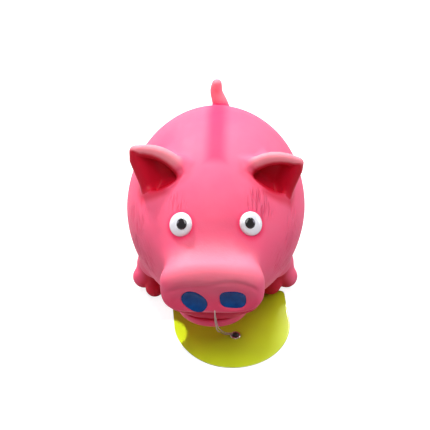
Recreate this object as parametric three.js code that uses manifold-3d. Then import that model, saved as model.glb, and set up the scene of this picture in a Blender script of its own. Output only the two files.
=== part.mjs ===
// A squeaky toy pig for a dog, with a blank card tag on a loop of string.
// Millimetres, +Z up. The pig faces -Y and stands on Z = 0.
// The origin is on the ground, under the middle of the pig.

import * as THREE from 'three';
import { mergeVertices } from 'three/addons/utils/BufferGeometryUtils.js';
import Module from 'manifold-3d';

// The hollow latex skin: an egg-shaped body, flattened under the belly.
const bodyHalfWidth = 53;
const bodyHalfLength = 71;
const bodyHalfHeight = 51;
const bodyCentreHeight = 53;
const bellyFlatDepth = 3;
const bodySides = 36;
const bodyBands = 22;
const wall = 2;

// The muzzle flares from a neck to a fat rolled rim round a flat face.
const snoutReach = 13.5;
const snoutCentreHeight = 59.5;
const snoutRimHalfWidth = 28.8;
const snoutRimHalfHeight = 15.5;
const snoutFaceHalfWidth = 22;
const snoutFaceHalfHeight = 10.5;
const snoutFaceDrop = 4;
const snoutNeckHalfWidth = 25.2;
const snoutNeckHalfHeight = 14.6;
const snoutRimDepth = 8;
const snoutFlareLength = 13;
const snoutRootLength = 34;
const snoutUpperSquareness = 2.7;
const snoutLowerSquareness = 3.6;
const snoutFilletDepth = 14;
const snoutFilletReach = 11;
const snoutFilletSink = 0.6;
const snoutRoll = THREE.MathUtils.degToRad(1.5);
const snoutRimStations = [0, 0.04, 0.15, 0.35, 0.65, 1];
const snoutNeckStation = 0.3;
const snoutFilletStations = [0, 0.25, 0.45, 0.65, 1];

// The lower lip under the muzzle, set back from the face. It is fuller than an ellipsoid.
const chinHalfWidth = 21;
const chinHalfLength = 17.5;
const chinHalfHeight = 12.5;
const chinSetback = 21;
const chinCentreHeight = 34.8;
const chinFullness = 2.15;

// Ears: hoods that open to the front, each over a pocket in the head. The feet are places on the body.
const earsMiddleX = 0.9;
const leftEarInnerFootX = 16.7;
const leftEarInnerFootY = -24.5;
const rightEarInnerFootX = 15.7;
const rightEarInnerFootY = -22;
const earOuterFootX = 42.6;
const earOuterFootY = -21.8;
const leftEarLeanX = -16.2;
const leftEarLeanY = 6.2;
const leftEarHeight = 13.4;
const rightEarLeanX = 15.7;
const rightEarLeanY = 0.3;
const rightEarHeight = 11.8;
const earArch = 4.5;
const earThickness = 5;
const earScoopDepth = 9;
const earTipHalfWidth = 5.4;
const earPocketForward = 2.5;
const earPocketHalfWidth = 13.5;
const earPocketHalfLength = 7;
const earPocketDepth = 4;
const earRoundStart = 0.6;
const earTipBluntness = 0.4;
const earEdgeReach = 1.12;
const earSink = 4;
const earStations = [0, 0.25, 0.5, 0.7, 0.85, 0.95, 1];
const earSpread = [-1, -0.75, -0.4, 0, 0.4, 0.75, 1];

// Legs are short stumps with two toes each, that point forwards and outwards.
const legHalfSpacing = 35;
const frontLegY = -13;
const rightFrontLegSetback = 2.5;
const frontLegRootDepth = 12.7;
const hindLegY = 28;
const hindLegRootDepth = 8.2;
const legHalfWidth = 13;
const legHalfLength = 14;
const soleFlat = 0.6;
const toeRadius = 7;
const toeClearance = 1.6;
const outerToeX = 8.4;
const outerToeY = -5.2;
const innerToeX = -1.5;
const innerToeY = -11.6;
const strayToeX = 1.5;
const strayToeY = -13.5;
const strayToeRadius = 5.8;
const shoulderX = 1.6;
const shoulderY = -9;
const shoulderHeight = 22.9;
const shoulderRadius = 7.5;

// The stub of a tail stands up on the rump.
const tailRootX = 1.4;
const tailTipX = -1.1;
const tailRootY = 60;
const tailTipY = 63;
const tailBend = 1.1;
const tailHeight = 19;
const tailRootSink = 7;
const tailSides = 12;
const tailStations = [
  { share: 0, radius: 7.2 },
  { share: 0.2, radius: 6 },
  { share: 0.38, radius: 4.9 },
  { share: 0.55, radius: 4.1 },
  { share: 0.85, radius: 3.3 },
  { share: 0.93, radius: 2.8 },
  { share: 0.98, radius: 1.8 },
  { share: 1, radius: 0.5 },
];

// Eyes are moulded domes that are fixed to the head, white with a black pupil.
const eyeHalfSpacing = 19.3;
const eyesMiddleX = 1.3;
const eyeHeight = 82;
const eyeRadius = 6.8;
const eyeRise = 2.6;
const pupilRadius = 3.1;
const pupilRise = 1.1;
const pupilInset = 1.6;

// Nostrils are shallow pockets in the face, each filled with a thick drop of blue paint.
const nostrilPocketDepth = 1.3;
const nostrilPaintDepth = 0.8;
const nostrilSides = 18;
const leftNostrilX = -9.7;
const leftNostrilHeight = 52.4;
const rightNostrilX = 11.4;
const rightNostrilHeight = 54.4;
const nostrils = [
  {
    name: 'nostril_paint_left',
    middle: new THREE.Vector2(leftNostrilX, leftNostrilHeight),
    longHalf: new THREE.Vector2(6.1, -5.3),
    shortHalf: new THREE.Vector2(3.1, 4.8),
    squareness: 2.3,
  },
  {
    name: 'nostril_paint_right',
    middle: new THREE.Vector2(rightNostrilX, rightNostrilHeight),
    longHalf: new THREE.Vector2(7.3, 0.3),
    shortHalf: new THREE.Vector2(-0.3, 6.3),
    squareness: 2.8,
  },
];

// The squeaker is a stepped plug that snaps into a hole in the flat of the belly.
const squeakerY = 4;
const squeakerNeckRadius = 8;
const squeakerFlangeRadius = 10;
const squeakerFlangeThickness = 1.2;
const squeakerBarrelRadius = 6.5;
const squeakerLead = 2.5;
const squeakerBarrelLength = 10;
const squeakerBoreRadius = 5;
const squeakerFloor = 1.4;
const soundHoleRadius = 0.9;
const soundHoleRing = 3.1;
const soundHoleCount = 6;

// Inside it a springy reed lies on a tone board, and a wedge pinches its root.
const toneBoardLength = 11.5;
const airChannelWidth = 3;
const airChannelDepth = 2.2;
const airChannelEnd = 2;
const reedWidth = 5;
const reedThickness = 0.3;
const reedTipInset = 1.5;
const reedCurl = 0.6;
const wedgeLength = 5;

// The tag: a card with one round end, turned a little on the ground under the muzzle.
const eyeletX = 13;
const eyeletY = -59.4;
const cardTurn = THREE.MathUtils.degToRad(6.4);
const cardHalfWidth = 34.4;
const cardRoundCentre = { x: -1.1, y: 9.8 };
const cardFarEdge = 35.5;
const cardCornerRadius = 3;
const cardThickness = 0.5;
const eyeletHoleRadius = 2;
const eyeletTube = 0.3;
const eyeletFlangeRadius = 3;
const eyeletFlangeThickness = 0.3;
const eyeletRoll = 0.2;

// A dark plastic button under the card holds the two sealed ends of the string.
const stopDiscRadius = 2.5;
const stopDiscThickness = 0.25;
const stopStemRadius = 1.6;
const stopHeadRise = 1.4;
const stopHeadRound = 0.6;
const tagGap = 0.1;

// The string goes through a hole that pierces the lower rim of the muzzle.
const stringRadius = 0.3;
const stringSides = 8;
const stringSteps = 60;
const stringLoopRadius = 1.5;
const stringX = 1.6;
const stringPivotInset = 1.1;
const stringPivotHeight = 45.2;

// Clearance between pieces that are cut to fit each other, and how far a cutter starts outside.
const fitGap = 0.3;
const cutMargin = 1;

const bellyHeight = bodyCentreHeight - bodyHalfHeight + bellyFlatDepth;
const muzzleFaceY = -(bodyHalfLength + snoutReach);
const originShiftY = snoutReach / 2;
const bodyCentre = new THREE.Vector3(0, 0, bodyCentreHeight);
const up = new THREE.Vector3(0, 0, 1);

const latex = new THREE.MeshStandardMaterial({ color: 0xff6f9c, roughness: 0.5, metalness: 0 });
const eyeWhite = new THREE.MeshStandardMaterial({ color: 0xf3f1f2, roughness: 0.2, metalness: 0 });
const pupilBlack = new THREE.MeshStandardMaterial({ color: 0x14090d, roughness: 0.15, metalness: 0 });
const nostrilBlue = new THREE.MeshStandardMaterial({ color: 0x1a4a8a, roughness: 0.3, metalness: 0 });
const clearPlastic = new THREE.MeshStandardMaterial({ color: 0xe6e6e0, roughness: 0.35, metalness: 0 });
const reedFilm = new THREE.MeshStandardMaterial({ color: 0xd8d4c4, roughness: 0.3, metalness: 0 });
const limeCard = new THREE.MeshStandardMaterial({ color: 0xb4c014, roughness: 0.3, metalness: 0 });
const nickel = new THREE.MeshStandardMaterial({ color: 0xc9c6bd, roughness: 0.25, metalness: 1 });
const darkPlastic = new THREE.MeshStandardMaterial({ color: 0x201914, roughness: 0.4, metalness: 0 });
const clearString = new THREE.MeshStandardMaterial({ color: 0xe9dcd2, roughness: 0.4, metalness: 0 });

const wasm = await Module();
wasm.setup();

// Turn a closed three.js geometry into a solid that can be joined and cut.
function solidOf(geometry) {
  const bare = geometry.clone();
  bare.deleteAttribute('normal');
  bare.deleteAttribute('uv');
  const merged = mergeVertices(bare, 1e-5);
  return new wasm.Manifold(new wasm.Mesh({
    numProp: 3,
    vertProperties: Float32Array.from(merged.attributes.position.array),
    triVerts: Uint32Array.from(merged.index.array),
  }));
}

// Turn a solid back into a three.js geometry.
function geometryOf(solid) {
  const mesh = solid.getMesh();
  const geometry = new THREE.BufferGeometry();
  geometry.setAttribute('position', new THREE.BufferAttribute(Float32Array.from(mesh.vertProperties), 3));
  geometry.setIndex(new THREE.BufferAttribute(Uint32Array.from(mesh.triVerts), 1));
  geometry.computeVertexNormals();
  return geometry;
}

function named(name, geometry, material) {
  const mesh = new THREE.Mesh(geometry, material);
  mesh.name = name;
  return mesh;
}

// Join equal rings of points into a closed skin, with a flat cap on each end.
function loft(rings) {
  const count = rings[0].length;
  const points = rings.flat();
  const middle = (ring) => {
    const sum = new THREE.Vector3();
    ring.forEach((point) => sum.add(point));
    return sum.divideScalar(count);
  };
  points.push(middle(rings[0]), middle(rings.at(-1)));
  const first = points.length - 2;
  const last = points.length - 1;
  const base = (rings.length - 1) * count;
  const faces = [];
  for (let i = 0; i < count; i++) {
    const j = (i + 1) % count;
    for (let row = 0; row < rings.length - 1; row++) {
      const a = row * count + i;
      const b = row * count + j;
      faces.push(a, b, b + count, a, b + count, a + count);
    }
    faces.push(first, j, i, last, base + i, base + j);
  }
  const geometry = new THREE.BufferGeometry().setFromPoints(points);
  geometry.setIndex(faces);
  geometry.computeVertexNormals();
  return geometry;
}

// A solid loft, turned right side out whichever way its rings run.
function loftSolid(rings) {
  const solid = solidOf(loft(rings));
  return solid.volume() > 0 ? solid : solidOf(loft(rings.toReversed()));
}

function ellipsoid(centre, halfX, halfY, halfZ, around, along) {
  const geometry = new THREE.SphereGeometry(1, around, along);
  geometry.scale(halfX, halfY, halfZ);
  geometry.translate(centre.x, centre.y, centre.z);
  return solidOf(geometry);
}

// Everything below a height, as a slab that is cut away.
function slabBelow(height) {
  const size = 4 * bodyHalfLength;
  const geometry = new THREE.BoxGeometry(size, size, size);
  geometry.translate(0, 0, height - size / 2);
  return solidOf(geometry);
}

// Heights of the body's upper and lower surfaces at a place, and the place of its front surface.
function bodyTop(x, y) {
  const slice = 1 - (x / bodyHalfWidth) ** 2 - (y / bodyHalfLength) ** 2;
  return bodyCentreHeight + bodyHalfHeight * Math.sqrt(slice);
}

function bodyUnderside(x, y) {
  return 2 * bodyCentreHeight - bodyTop(x, y);
}

function bodyFront(x, z) {
  const rise = (z - bodyCentreHeight) / bodyHalfHeight;
  return -bodyHalfLength * Math.sqrt(1 - (x / bodyHalfWidth) ** 2 - rise ** 2);
}

function bodyNormal(point) {
  return new THREE.Vector3(
    point.x / bodyHalfWidth ** 2,
    point.y / bodyHalfLength ** 2,
    (point.z - bodyCentreHeight) / bodyHalfHeight ** 2,
  ).normalize();
}

// The body, grown outwards or shrunk inwards all round.
function body(grow, around, along) {
  const halves = [bodyHalfWidth, bodyHalfLength, bodyHalfHeight].map((half) => half + grow);
  return ellipsoid(bodyCentre, ...halves, around, along).subtract(slabBelow(bellyHeight - grow));
}

// How far the rim has rolled outwards at a depth behind the face, from 0 to 1.
function rimRoll(depth) {
  return Math.sqrt(1 - (1 - Math.min(depth / snoutRimDepth, 1)) ** 2);
}

// Half a side of the muzzle at a depth: face, rolled rim, then neck.
function muzzleHalf(depth, faceHalf, rimHalf, neckHalf) {
  const rolled = THREE.MathUtils.lerp(faceHalf, rimHalf, rimRoll(depth));
  const flare = THREE.MathUtils.smoothstep(depth, snoutRimDepth, snoutRimDepth + snoutFlareLength);
  return THREE.MathUtils.lerp(rolled, neckHalf, flare);
}

// How far the body reaches from a point on the muzzle's axis in a direction across it.
function bodyReach(y, height, across, upwards, shrink) {
  const slice = 1 - (y / (bodyHalfLength - shrink)) ** 2;
  if (slice <= 0) {
    return 0;
  }
  const halfWidth = (bodyHalfWidth - shrink) * Math.sqrt(slice);
  const halfHeight = (bodyHalfHeight - shrink) * Math.sqrt(slice);
  const offset = (height - bodyCentreHeight) / halfHeight;
  const a = (across / halfWidth) ** 2 + (upwards / halfHeight) ** 2;
  const b = offset * upwards / halfHeight;
  const c = offset ** 2 - 1;
  const inside = b * b - a * c;
  return inside > 0 ? (Math.sqrt(inside) - b) / a : 0;
}

// The larger of two lengths, with a round transition between them.
function smoothMax(one, other, reach) {
  const near = Math.max(reach - Math.abs(one - other), 0) / reach;
  return Math.max(one, other) + near * near * reach / 4;
}

function muzzle(shrink, around) {
  const rim = snoutRimStations.map((share) => share * snoutRimDepth);
  const neck = snoutRimDepth + snoutNeckStation * snoutFlareLength;
  const fillet = snoutFilletStations.map((share) => snoutFilletDepth + share * snoutFilletReach);
  const rings = [...rim, neck, ...fillet, snoutRootLength].map((depth) => {
    const halfWidth = muzzleHalf(depth, snoutFaceHalfWidth, snoutRimHalfWidth, snoutNeckHalfWidth) - shrink;
    const halfHeight = muzzleHalf(
      depth, snoutFaceHalfHeight, snoutRimHalfHeight, snoutNeckHalfHeight,
    ) - shrink;
    const centreHeight = snoutCentreHeight - snoutFaceDrop * (1 - rimRoll(depth));
    const y = muzzleFaceY + Math.max(depth, shrink);
    const ring = [];
    for (let i = 0; i < around; i++) {
      const angle = (2 * Math.PI * i) / around;
      const squareness = Math.sin(angle) > 0 ? snoutUpperSquareness : snoutLowerSquareness;
      const side = (value) => Math.sign(value) * Math.abs(value) ** (2 / squareness);
      const spoke = new THREE.Vector2(halfWidth * side(Math.cos(angle)), halfHeight * side(Math.sin(angle)));
      spoke.rotateAround(new THREE.Vector2(0, 0), snoutRoll);
      const reach = spoke.length();
      spoke.normalize();
      const skinReach = bodyReach(y, centreHeight, spoke.x, spoke.y, shrink) - snoutFilletSink;
      spoke.multiplyScalar(smoothMax(reach, skinReach, snoutFilletReach));
      ring.push(new THREE.Vector3(spoke.x, y, centreHeight + spoke.y));
    }
    return ring;
  });
  const first = rings.findLastIndex((ring) => ring[0].y <= muzzleFaceY + shrink);
  return loftSolid(rings.slice(first));
}

function chin(shrink, around, along) {
  const geometry = new THREE.SphereGeometry(1, around, along);
  const places = geometry.attributes.position;
  const point = new THREE.Vector3();
  for (let i = 0; i < places.count; i++) {
    point.fromBufferAttribute(places, i);
    const spread = point.toArray().reduce((sum, part) => sum + Math.abs(part) ** chinFullness, 0);
    point.divideScalar(spread ** (1 / chinFullness));
    places.setXYZ(i, point.x, point.y, point.z);
  }
  geometry.scale(chinHalfWidth - shrink, chinHalfLength - shrink, chinHalfHeight - shrink);
  geometry.translate(0, muzzleFaceY + chinSetback, chinCentreHeight);
  return solidOf(geometry);
}

// The two places on the body where an ear stands.
function earFeet(side) {
  const innerFootX = side > 0 ? rightEarInnerFootX : leftEarInnerFootX;
  const innerFootY = side > 0 ? rightEarInnerFootY : leftEarInnerFootY;
  return [[innerFootX, innerFootY], [earOuterFootX, earOuterFootY]].map(([offset, y]) => {
    const x = earsMiddleX + side * offset;
    return new THREE.Vector3(x, y, bodyTop(x, y));
  });
}

// An ear is a loft of crescents, from a wide foot to a round tip, open towards the front.
// Its edge from the inner foot to the tip is arched upwards and inwards.
function ear(side, leanX, leanY, height) {
  const [inner, outer] = earFeet(side).map((foot) => foot.addScaledVector(up, -earSink));
  const middle = inner.clone().lerp(outer, 0.5);
  const tip = middle.clone().add(new THREE.Vector3(leanX, leanY, height + earSink));
  const across = outer.clone().sub(inner);
  const footHalfWidth = across.length() / 2;
  across.normalize();
  const back = new THREE.Vector3().crossVectors(across, tip.clone().sub(middle)).normalize();
  back.multiplyScalar(Math.sign(back.y));
  const archWay = new THREE.Vector3().crossVectors(back, tip.clone().sub(inner)).normalize();
  archWay.multiplyScalar(-Math.sign(archWay.dot(across)));
  const rings = earStations.map((share) => {
    const straight = THREE.MathUtils.lerp(footHalfWidth, earTipHalfWidth, share);
    const round = Math.max(0, (share - earRoundStart) / (1 - earRoundStart));
    const narrowing = Math.sqrt(1 - (1 - earTipBluntness ** 2) * round ** 2);
    const halfWidth = straight * narrowing;
    const depth = earScoopDepth * halfWidth / footHalfWidth;
    const half = (earThickness / 2) * narrowing;
    const spine = middle.clone().lerp(tip, share);
    const arch = 4 * earArch * share * (1 - share);
    const at = (offset, layer) => spine.clone()
      .addScaledVector(across, offset * halfWidth)
      .addScaledVector(archWay, arch * (1 - offset) / 2)
      .addScaledVector(back, depth * (1 - offset * offset) + layer * half);
    const behind = earSpread.map((offset) => at(offset, 1));
    const ahead = earSpread.toReversed().map((offset) => at(offset, -1));
    return [at(-earEdgeReach, 0), ...behind, at(earEdgeReach, 0), ...ahead];
  });
  return loftSolid(rings);
}

// The pocket in front of an ear: a flat egg that lies in the body's surface, grown by the wall inside.
function earPocket(side, grow) {
  const [inner, outer] = earFeet(side);
  const middle = inner.clone().lerp(outer, 0.5);
  middle.z = bodyTop(middle.x, middle.y);
  const normal = bodyNormal(middle);
  const along = outer.clone().sub(inner).projectOnPlane(normal).normalize();
  const level = new THREE.Vector3().crossVectors(normal, along);
  middle.addScaledVector(level, -side * earPocketForward);
  const geometry = new THREE.SphereGeometry(1, 16, 10);
  geometry.scale(earPocketHalfWidth + grow, earPocketHalfLength + grow, earPocketDepth + grow);
  geometry.applyMatrix4(new THREE.Matrix4().makeBasis(along, level, normal));
  geometry.translate(middle.x, middle.y, middle.z);
  return solidOf(geometry);
}

// Half the height of a leg, from below the ground to its root in the body, and the leg's middle.
function legHalfHeight(leg) {
  return (soleFlat + bodyUnderside(legHalfSpacing, leg.y) + leg.rootDepth) / 2;
}

function legCentre(leg) {
  return new THREE.Vector3(leg.side * legHalfSpacing, leg.y, legHalfHeight(leg) - soleFlat);
}

function legPlaces() {
  return [-1, 1].flatMap((side) => {
    const frontY = side > 0 ? frontLegY + rightFrontLegSetback : frontLegY;
    return [
      { side, isFront: true, y: frontY, rootDepth: frontLegRootDepth },
      { side, isFront: false, y: hindLegY, rootDepth: hindLegRootDepth },
    ];
  });
}

// The balls that a leg ends in, from its middle line: two toes, and over the front toes a shoulder.
// The inner toe of the left front foot is smaller and further forward than the others.
function legBalls(leg) {
  const toe = (x, y, radius) => ({ x, y, height: radius + toeClearance, radius });
  const outer = toe(outerToeX, outerToeY, toeRadius);
  const inner = toe(innerToeX, innerToeY, toeRadius);
  if (!leg.isFront) return [outer, inner];
  const shoulder = { x: shoulderX, y: shoulderY, height: shoulderHeight, radius: shoulderRadius };
  const frontInner = leg.side < 0 ? toe(strayToeX, strayToeY, strayToeRadius) : inner;
  return [outer, frontInner, shoulder];
}

// The legs with their toes. The soles are trimmed flat when the skin is put together.
function legs() {
  return legPlaces().flatMap((leg) => {
    const centre = legCentre(leg);
    const stump = ellipsoid(centre, legHalfWidth, legHalfLength, legHalfHeight(leg), 14, 8);
    const balls = legBalls(leg).map(({ x, y, height, radius }) => {
      const place = new THREE.Vector3(centre.x + leg.side * x, leg.y + y, height);
      return ellipsoid(place, radius, radius, radius, 12, 7);
    });
    return [stump, ...balls];
  });
}

function legHollows() {
  return legPlaces().map((leg) => {
    const centre = legCentre(leg).addScaledVector(up, wall + soleFlat);
    const halfHeight = legHalfHeight(leg) - wall;
    return ellipsoid(centre, legHalfWidth - wall, legHalfLength - wall, halfHeight, 10, 6);
  });
}

// The tail is a tapering round stub on a curved line, with a flared root and a round tip.
function tail() {
  const rootHeight = bodyTop(0, tailRootY) - tailRootSink;
  const length = tailHeight + tailRootSink;
  const tailMiddleX = (tailRootX + tailTipX) / 2 - tailBend;
  const line = new THREE.CatmullRomCurve3([
    new THREE.Vector3(tailRootX, tailRootY, rootHeight),
    new THREE.Vector3(tailMiddleX, tailTipY, rootHeight + length / 2),
    new THREE.Vector3(tailTipX, tailTipY, rootHeight + length),
  ]);
  const rings = tailStations.map(({ share, radius }) => {
    const centre = line.getPointAt(share);
    const turn = new THREE.Quaternion().setFromUnitVectors(up, line.getTangentAt(share));
    const ring = [];
    for (let i = 0; i < tailSides; i++) {
      const angle = (2 * Math.PI * i) / tailSides;
      const point = new THREE.Vector3(radius * Math.cos(angle), radius * Math.sin(angle), 0);
      ring.push(point.applyQuaternion(turn).add(centre));
    }
    return ring;
  });
  return loftSolid(rings);
}

// A nostril is an oval between two slanted half-axes, fuller at its corners than an ellipse.
// Its outline is drawn in by an inset, as a plate that starts at a depth behind the face.
function nostrilPlate(nostril, inset, startDepth, depth) {
  const drawnIn = (half) => half.clone().setLength(half.length() - inset);
  const long = drawnIn(nostril.longHalf);
  const short = drawnIn(nostril.shortHalf);
  const full = (value) => Math.sign(value) * Math.abs(value) ** (2 / nostril.squareness);
  const points = [];
  for (let i = 0; i < nostrilSides; i++) {
    const angle = (2 * Math.PI * i) / nostrilSides;
    const point = nostril.middle.clone().addScaledVector(long, full(Math.cos(angle)));
    points.push(point.addScaledVector(short, full(Math.sin(angle))));
  }
  const shape = new THREE.Shape(points);
  const geometry = new THREE.ExtrudeGeometry(shape, { depth, bevelEnabled: false, curveSegments: 1 });
  geometry.rotateX(Math.PI / 2);
  geometry.translate(0, muzzleFaceY + startDepth + depth, 0);
  return solidOf(geometry);
}

// The pivot of the string in the rim, and the ring-shaped way that it takes through the latex.
function stringPivot() {
  return new THREE.Vector3(stringX, muzzleFaceY + stringPivotInset, stringPivotHeight);
}

function stringHole() {
  const tube = stringRadius + fitGap;
  const ring = new THREE.TorusGeometry(stringLoopRadius, tube, 6, 12);
  ring.rotateY(Math.PI / 2);
  const pivot = stringPivot();
  ring.translate(pivot.x, pivot.y, pivot.z);
  const drop = cylinder(tube, pivot.z - 4 * stringLoopRadius, pivot.z, 8);
  drop.translate(pivot.x, pivot.y + stringLoopRadius, 0);
  return solidOf(ring).add(solidOf(drop));
}

function cylinder(radius, low, high, sides) {
  const geometry = new THREE.CylinderGeometry(radius, radius, high - low, sides);
  geometry.rotateX(Math.PI / 2);
  geometry.translate(0, 0, (low + high) / 2);
  return geometry;
}

function skin() {
  const ears = [
    ear(-1, leftEarLeanX, leftEarLeanY, leftEarHeight),
    ear(1, rightEarLeanX, rightEarLeanY, rightEarHeight),
  ];
  const outside = [muzzle(0, 28), chin(0, 18, 10), ...ears, tail(), ...legs()];
  const hollow = [muzzle(wall, 16), chin(wall, 12, 7), ...legHollows()];
  const join = (solid, other) => solid.add(other);
  const dent = (solid, grow) => solid.subtract(earPocket(-1, grow)).subtract(earPocket(1, grow));
  const whole = outside.reduce(join, dent(body(0, bodySides, bodyBands), 0));
  const inside = hollow.reduce(join, dent(body(-wall, 24, 14), wall));
  const bellyHole = cylinder(squeakerNeckRadius + fitGap, 0, bodyCentreHeight, 24);
  bellyHole.translate(0, squeakerY, 0);
  const cuts = [slabBelow(0), inside, solidOf(bellyHole), stringHole()];
  for (const nostril of nostrils) {
    cuts.push(nostrilPlate(nostril, 0, -cutMargin, nostrilPocketDepth + cutMargin));
  }
  return named('skin', geometryOf(cuts.reduce((solid, cut) => solid.subtract(cut), whole)), latex);
}

// A low dome that sits on a surface: a flat round lens about a point, turned to face outwards.
function dome(point, normal, radius, rise, around, along) {
  const geometry = new THREE.SphereGeometry(1, around, along);
  geometry.rotateX(Math.PI / 2);
  geometry.scale(radius, radius, rise);
  geometry.applyQuaternion(new THREE.Quaternion().setFromUnitVectors(up, normal));
  geometry.translate(point.x, point.y, point.z);
  return solidOf(geometry);
}

// The eyeball's dome is cut by the head, and the pupil's by the eyeball, each with a gap.
function eye(side, label) {
  const x = eyesMiddleX + side * eyeHalfSpacing;
  const seat = new THREE.Vector3(x, bodyFront(x, eyeHeight), eyeHeight);
  const normal = bodyNormal(seat);
  const ball = dome(seat, normal, eyeRadius, eyeRise, 20, 10).subtract(body(fitGap, bodySides, bodyBands));
  const grownBall = dome(seat, normal, eyeRadius + fitGap, eyeRise + fitGap, 20, 10);
  const inwards = new THREE.Vector3(-side, 0, 0).projectOnPlane(normal).normalize();
  const pupilSeat = seat.clone().addScaledVector(inwards, pupilInset);
  pupilSeat.addScaledVector(normal, eyeRise * Math.sqrt(1 - (pupilInset / eyeRadius) ** 2));
  const pupil = dome(pupilSeat, normal, pupilRadius, pupilRise, 16, 6).subtract(grownBall);
  return [
    named(`eye_white_${label}`, geometryOf(ball), eyeWhite),
    named(`pupil_${label}`, geometryOf(pupil), pupilBlack),
  ];
}

function nostrilPaint(nostril) {
  const depth = nostrilPocketDepth - fitGap - nostrilPaintDepth;
  const drop = nostrilPlate(nostril, fitGap, depth, nostrilPaintDepth);
  return named(nostril.name, geometryOf(drop), nostrilBlue);
}

// Revolve a closed outline of radius and height pairs about the upright axis.
function turned(outline, sides) {
  const points = outline.map(([radius, height]) => new THREE.Vector2(radius, height));
  const geometry = new THREE.LatheGeometry(points, sides);
  geometry.rotateX(Math.PI / 2);
  const solid = solidOf(geometry);
  return solid.volume() > 0 ? solid : solidOf(flipped(geometry));
}

function flipped(geometry) {
  const turnedOut = geometry.clone();
  const index = turnedOut.index.array;
  for (let i = 0; i < index.length; i += 3) {
    [index[i], index[i + 1]] = [index[i + 1], index[i]];
  }
  return turnedOut;
}

// A half-round bar on one side of a flat, from one height to another.
function halfRound(radius, flat, side, low, high) {
  const reach = Math.acos(flat / radius);
  const shape = new THREE.Shape();
  shape.absarc(0, 0, radius, Math.PI / 2 - reach, Math.PI / 2 + reach, false);
  const depth = high - low;
  const geometry = new THREE.ExtrudeGeometry(shape, { depth, bevelEnabled: false, curveSegments: 8 });
  if (side < 0) {
    geometry.rotateZ(Math.PI);
  }
  geometry.translate(0, 0, low);
  return solidOf(geometry);
}

function squeaker() {
  const group = new THREE.Group();
  group.position.set(0, squeakerY, 0);
  const grooveLow = bellyHeight - fitGap;
  const grooveHigh = bellyHeight + wall + fitGap;
  const bottom = grooveLow - squeakerFlangeThickness;
  const shoulder = grooveHigh + squeakerFlangeThickness;
  const floor = bottom + squeakerFloor;
  const top = shoulder + squeakerBarrelLength;
  let housing = turned([
    [0, bottom],
    [squeakerFlangeRadius, bottom],
    [squeakerFlangeRadius, grooveLow],
    [squeakerNeckRadius, grooveLow],
    [squeakerNeckRadius, grooveHigh],
    [squeakerFlangeRadius, grooveHigh],
    [squeakerBarrelRadius + squeakerLead, shoulder],
    [squeakerBarrelRadius, shoulder],
    [squeakerBarrelRadius, top],
    [squeakerBoreRadius, top],
    [squeakerBoreRadius, floor],
    [0, floor],
  ], 24);
  housing = housing.subtract(solidOf(cylinder(soundHoleRadius, bottom - cutMargin, floor + cutMargin, 8)));
  for (let i = 0; i < soundHoleCount; i++) {
    const angle = (2 * Math.PI * i) / soundHoleCount;
    const hole = cylinder(soundHoleRadius, bottom - cutMargin, floor + cutMargin, 8);
    hole.translate(soundHoleRing * Math.cos(angle), soundHoleRing * Math.sin(angle), 0);
    housing = housing.subtract(solidOf(hole));
  }
  const insertRadius = squeakerBoreRadius - fitGap;
  const boardLow = floor + fitGap;
  const boardHigh = boardLow + toneBoardLength;
  const channelLength = toneBoardLength - airChannelEnd;
  const channel = new THREE.BoxGeometry(airChannelWidth, 2 * airChannelDepth, channelLength + cutMargin);
  channel.translate(0, 0, boardLow + (channelLength - cutMargin) / 2);
  const board = halfRound(insertRadius, 0, -1, boardLow, boardHigh).subtract(solidOf(channel));
  const wedgeLow = boardHigh - wedgeLength;
  const wedgeFlat = 2 * fitGap + reedThickness;
  const wedge = halfRound(insertRadius, wedgeFlat, 1, wedgeLow, boardHigh);
  group.add(
    named('squeaker_housing', geometryOf(housing), clearPlastic),
    named('squeaker_tone_board', geometryOf(board), clearPlastic),
    named('squeaker_reed', geometryOf(reed(boardLow + reedTipInset, wedgeLow, boardHigh)), reedFilm),
    named('squeaker_wedge', geometryOf(wedge), clearPlastic),
  );
  return group;
}

// The reed is flat where it is pinched, and curls away from the board to its free tip.
function reed(tip, bend, root) {
  const curl = (height) => fitGap + reedCurl * Math.max(0, (bend - height) / (bend - tip)) ** 2;
  const free = [0, 0.35, 0.7, 1].map((share) => THREE.MathUtils.lerp(tip, bend, share));
  const heights = [...free, root];
  const near = heights.map((height) => new THREE.Vector2(curl(height), height));
  const far = heights.map((height) => new THREE.Vector2(curl(height) + reedThickness, height)).reverse();
  const outline = new THREE.Shape([...near, ...far]);
  const geometry = new THREE.ExtrudeGeometry(outline, { depth: reedWidth, bevelEnabled: false });
  geometry.translate(0, 0, -reedWidth / 2);
  geometry.applyMatrix4(new THREE.Matrix4().makeBasis(
    new THREE.Vector3(0, 1, 0), new THREE.Vector3(0, 0, 1), new THREE.Vector3(1, 0, 0),
  ));
  return solidOf(geometry);
}

// Heights of the tag's layers above the ground, from the button's disc up.
const eyeletLow = stopDiscThickness + tagGap;
const cardLow = eyeletLow + eyeletFlangeThickness + tagGap;
const cardHigh = cardLow + cardThickness;
const eyeletHigh = cardHigh + tagGap + eyeletFlangeThickness + eyeletRoll;
const stringEndHeight = eyeletHigh + tagGap + 2 * stringRadius;

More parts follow.
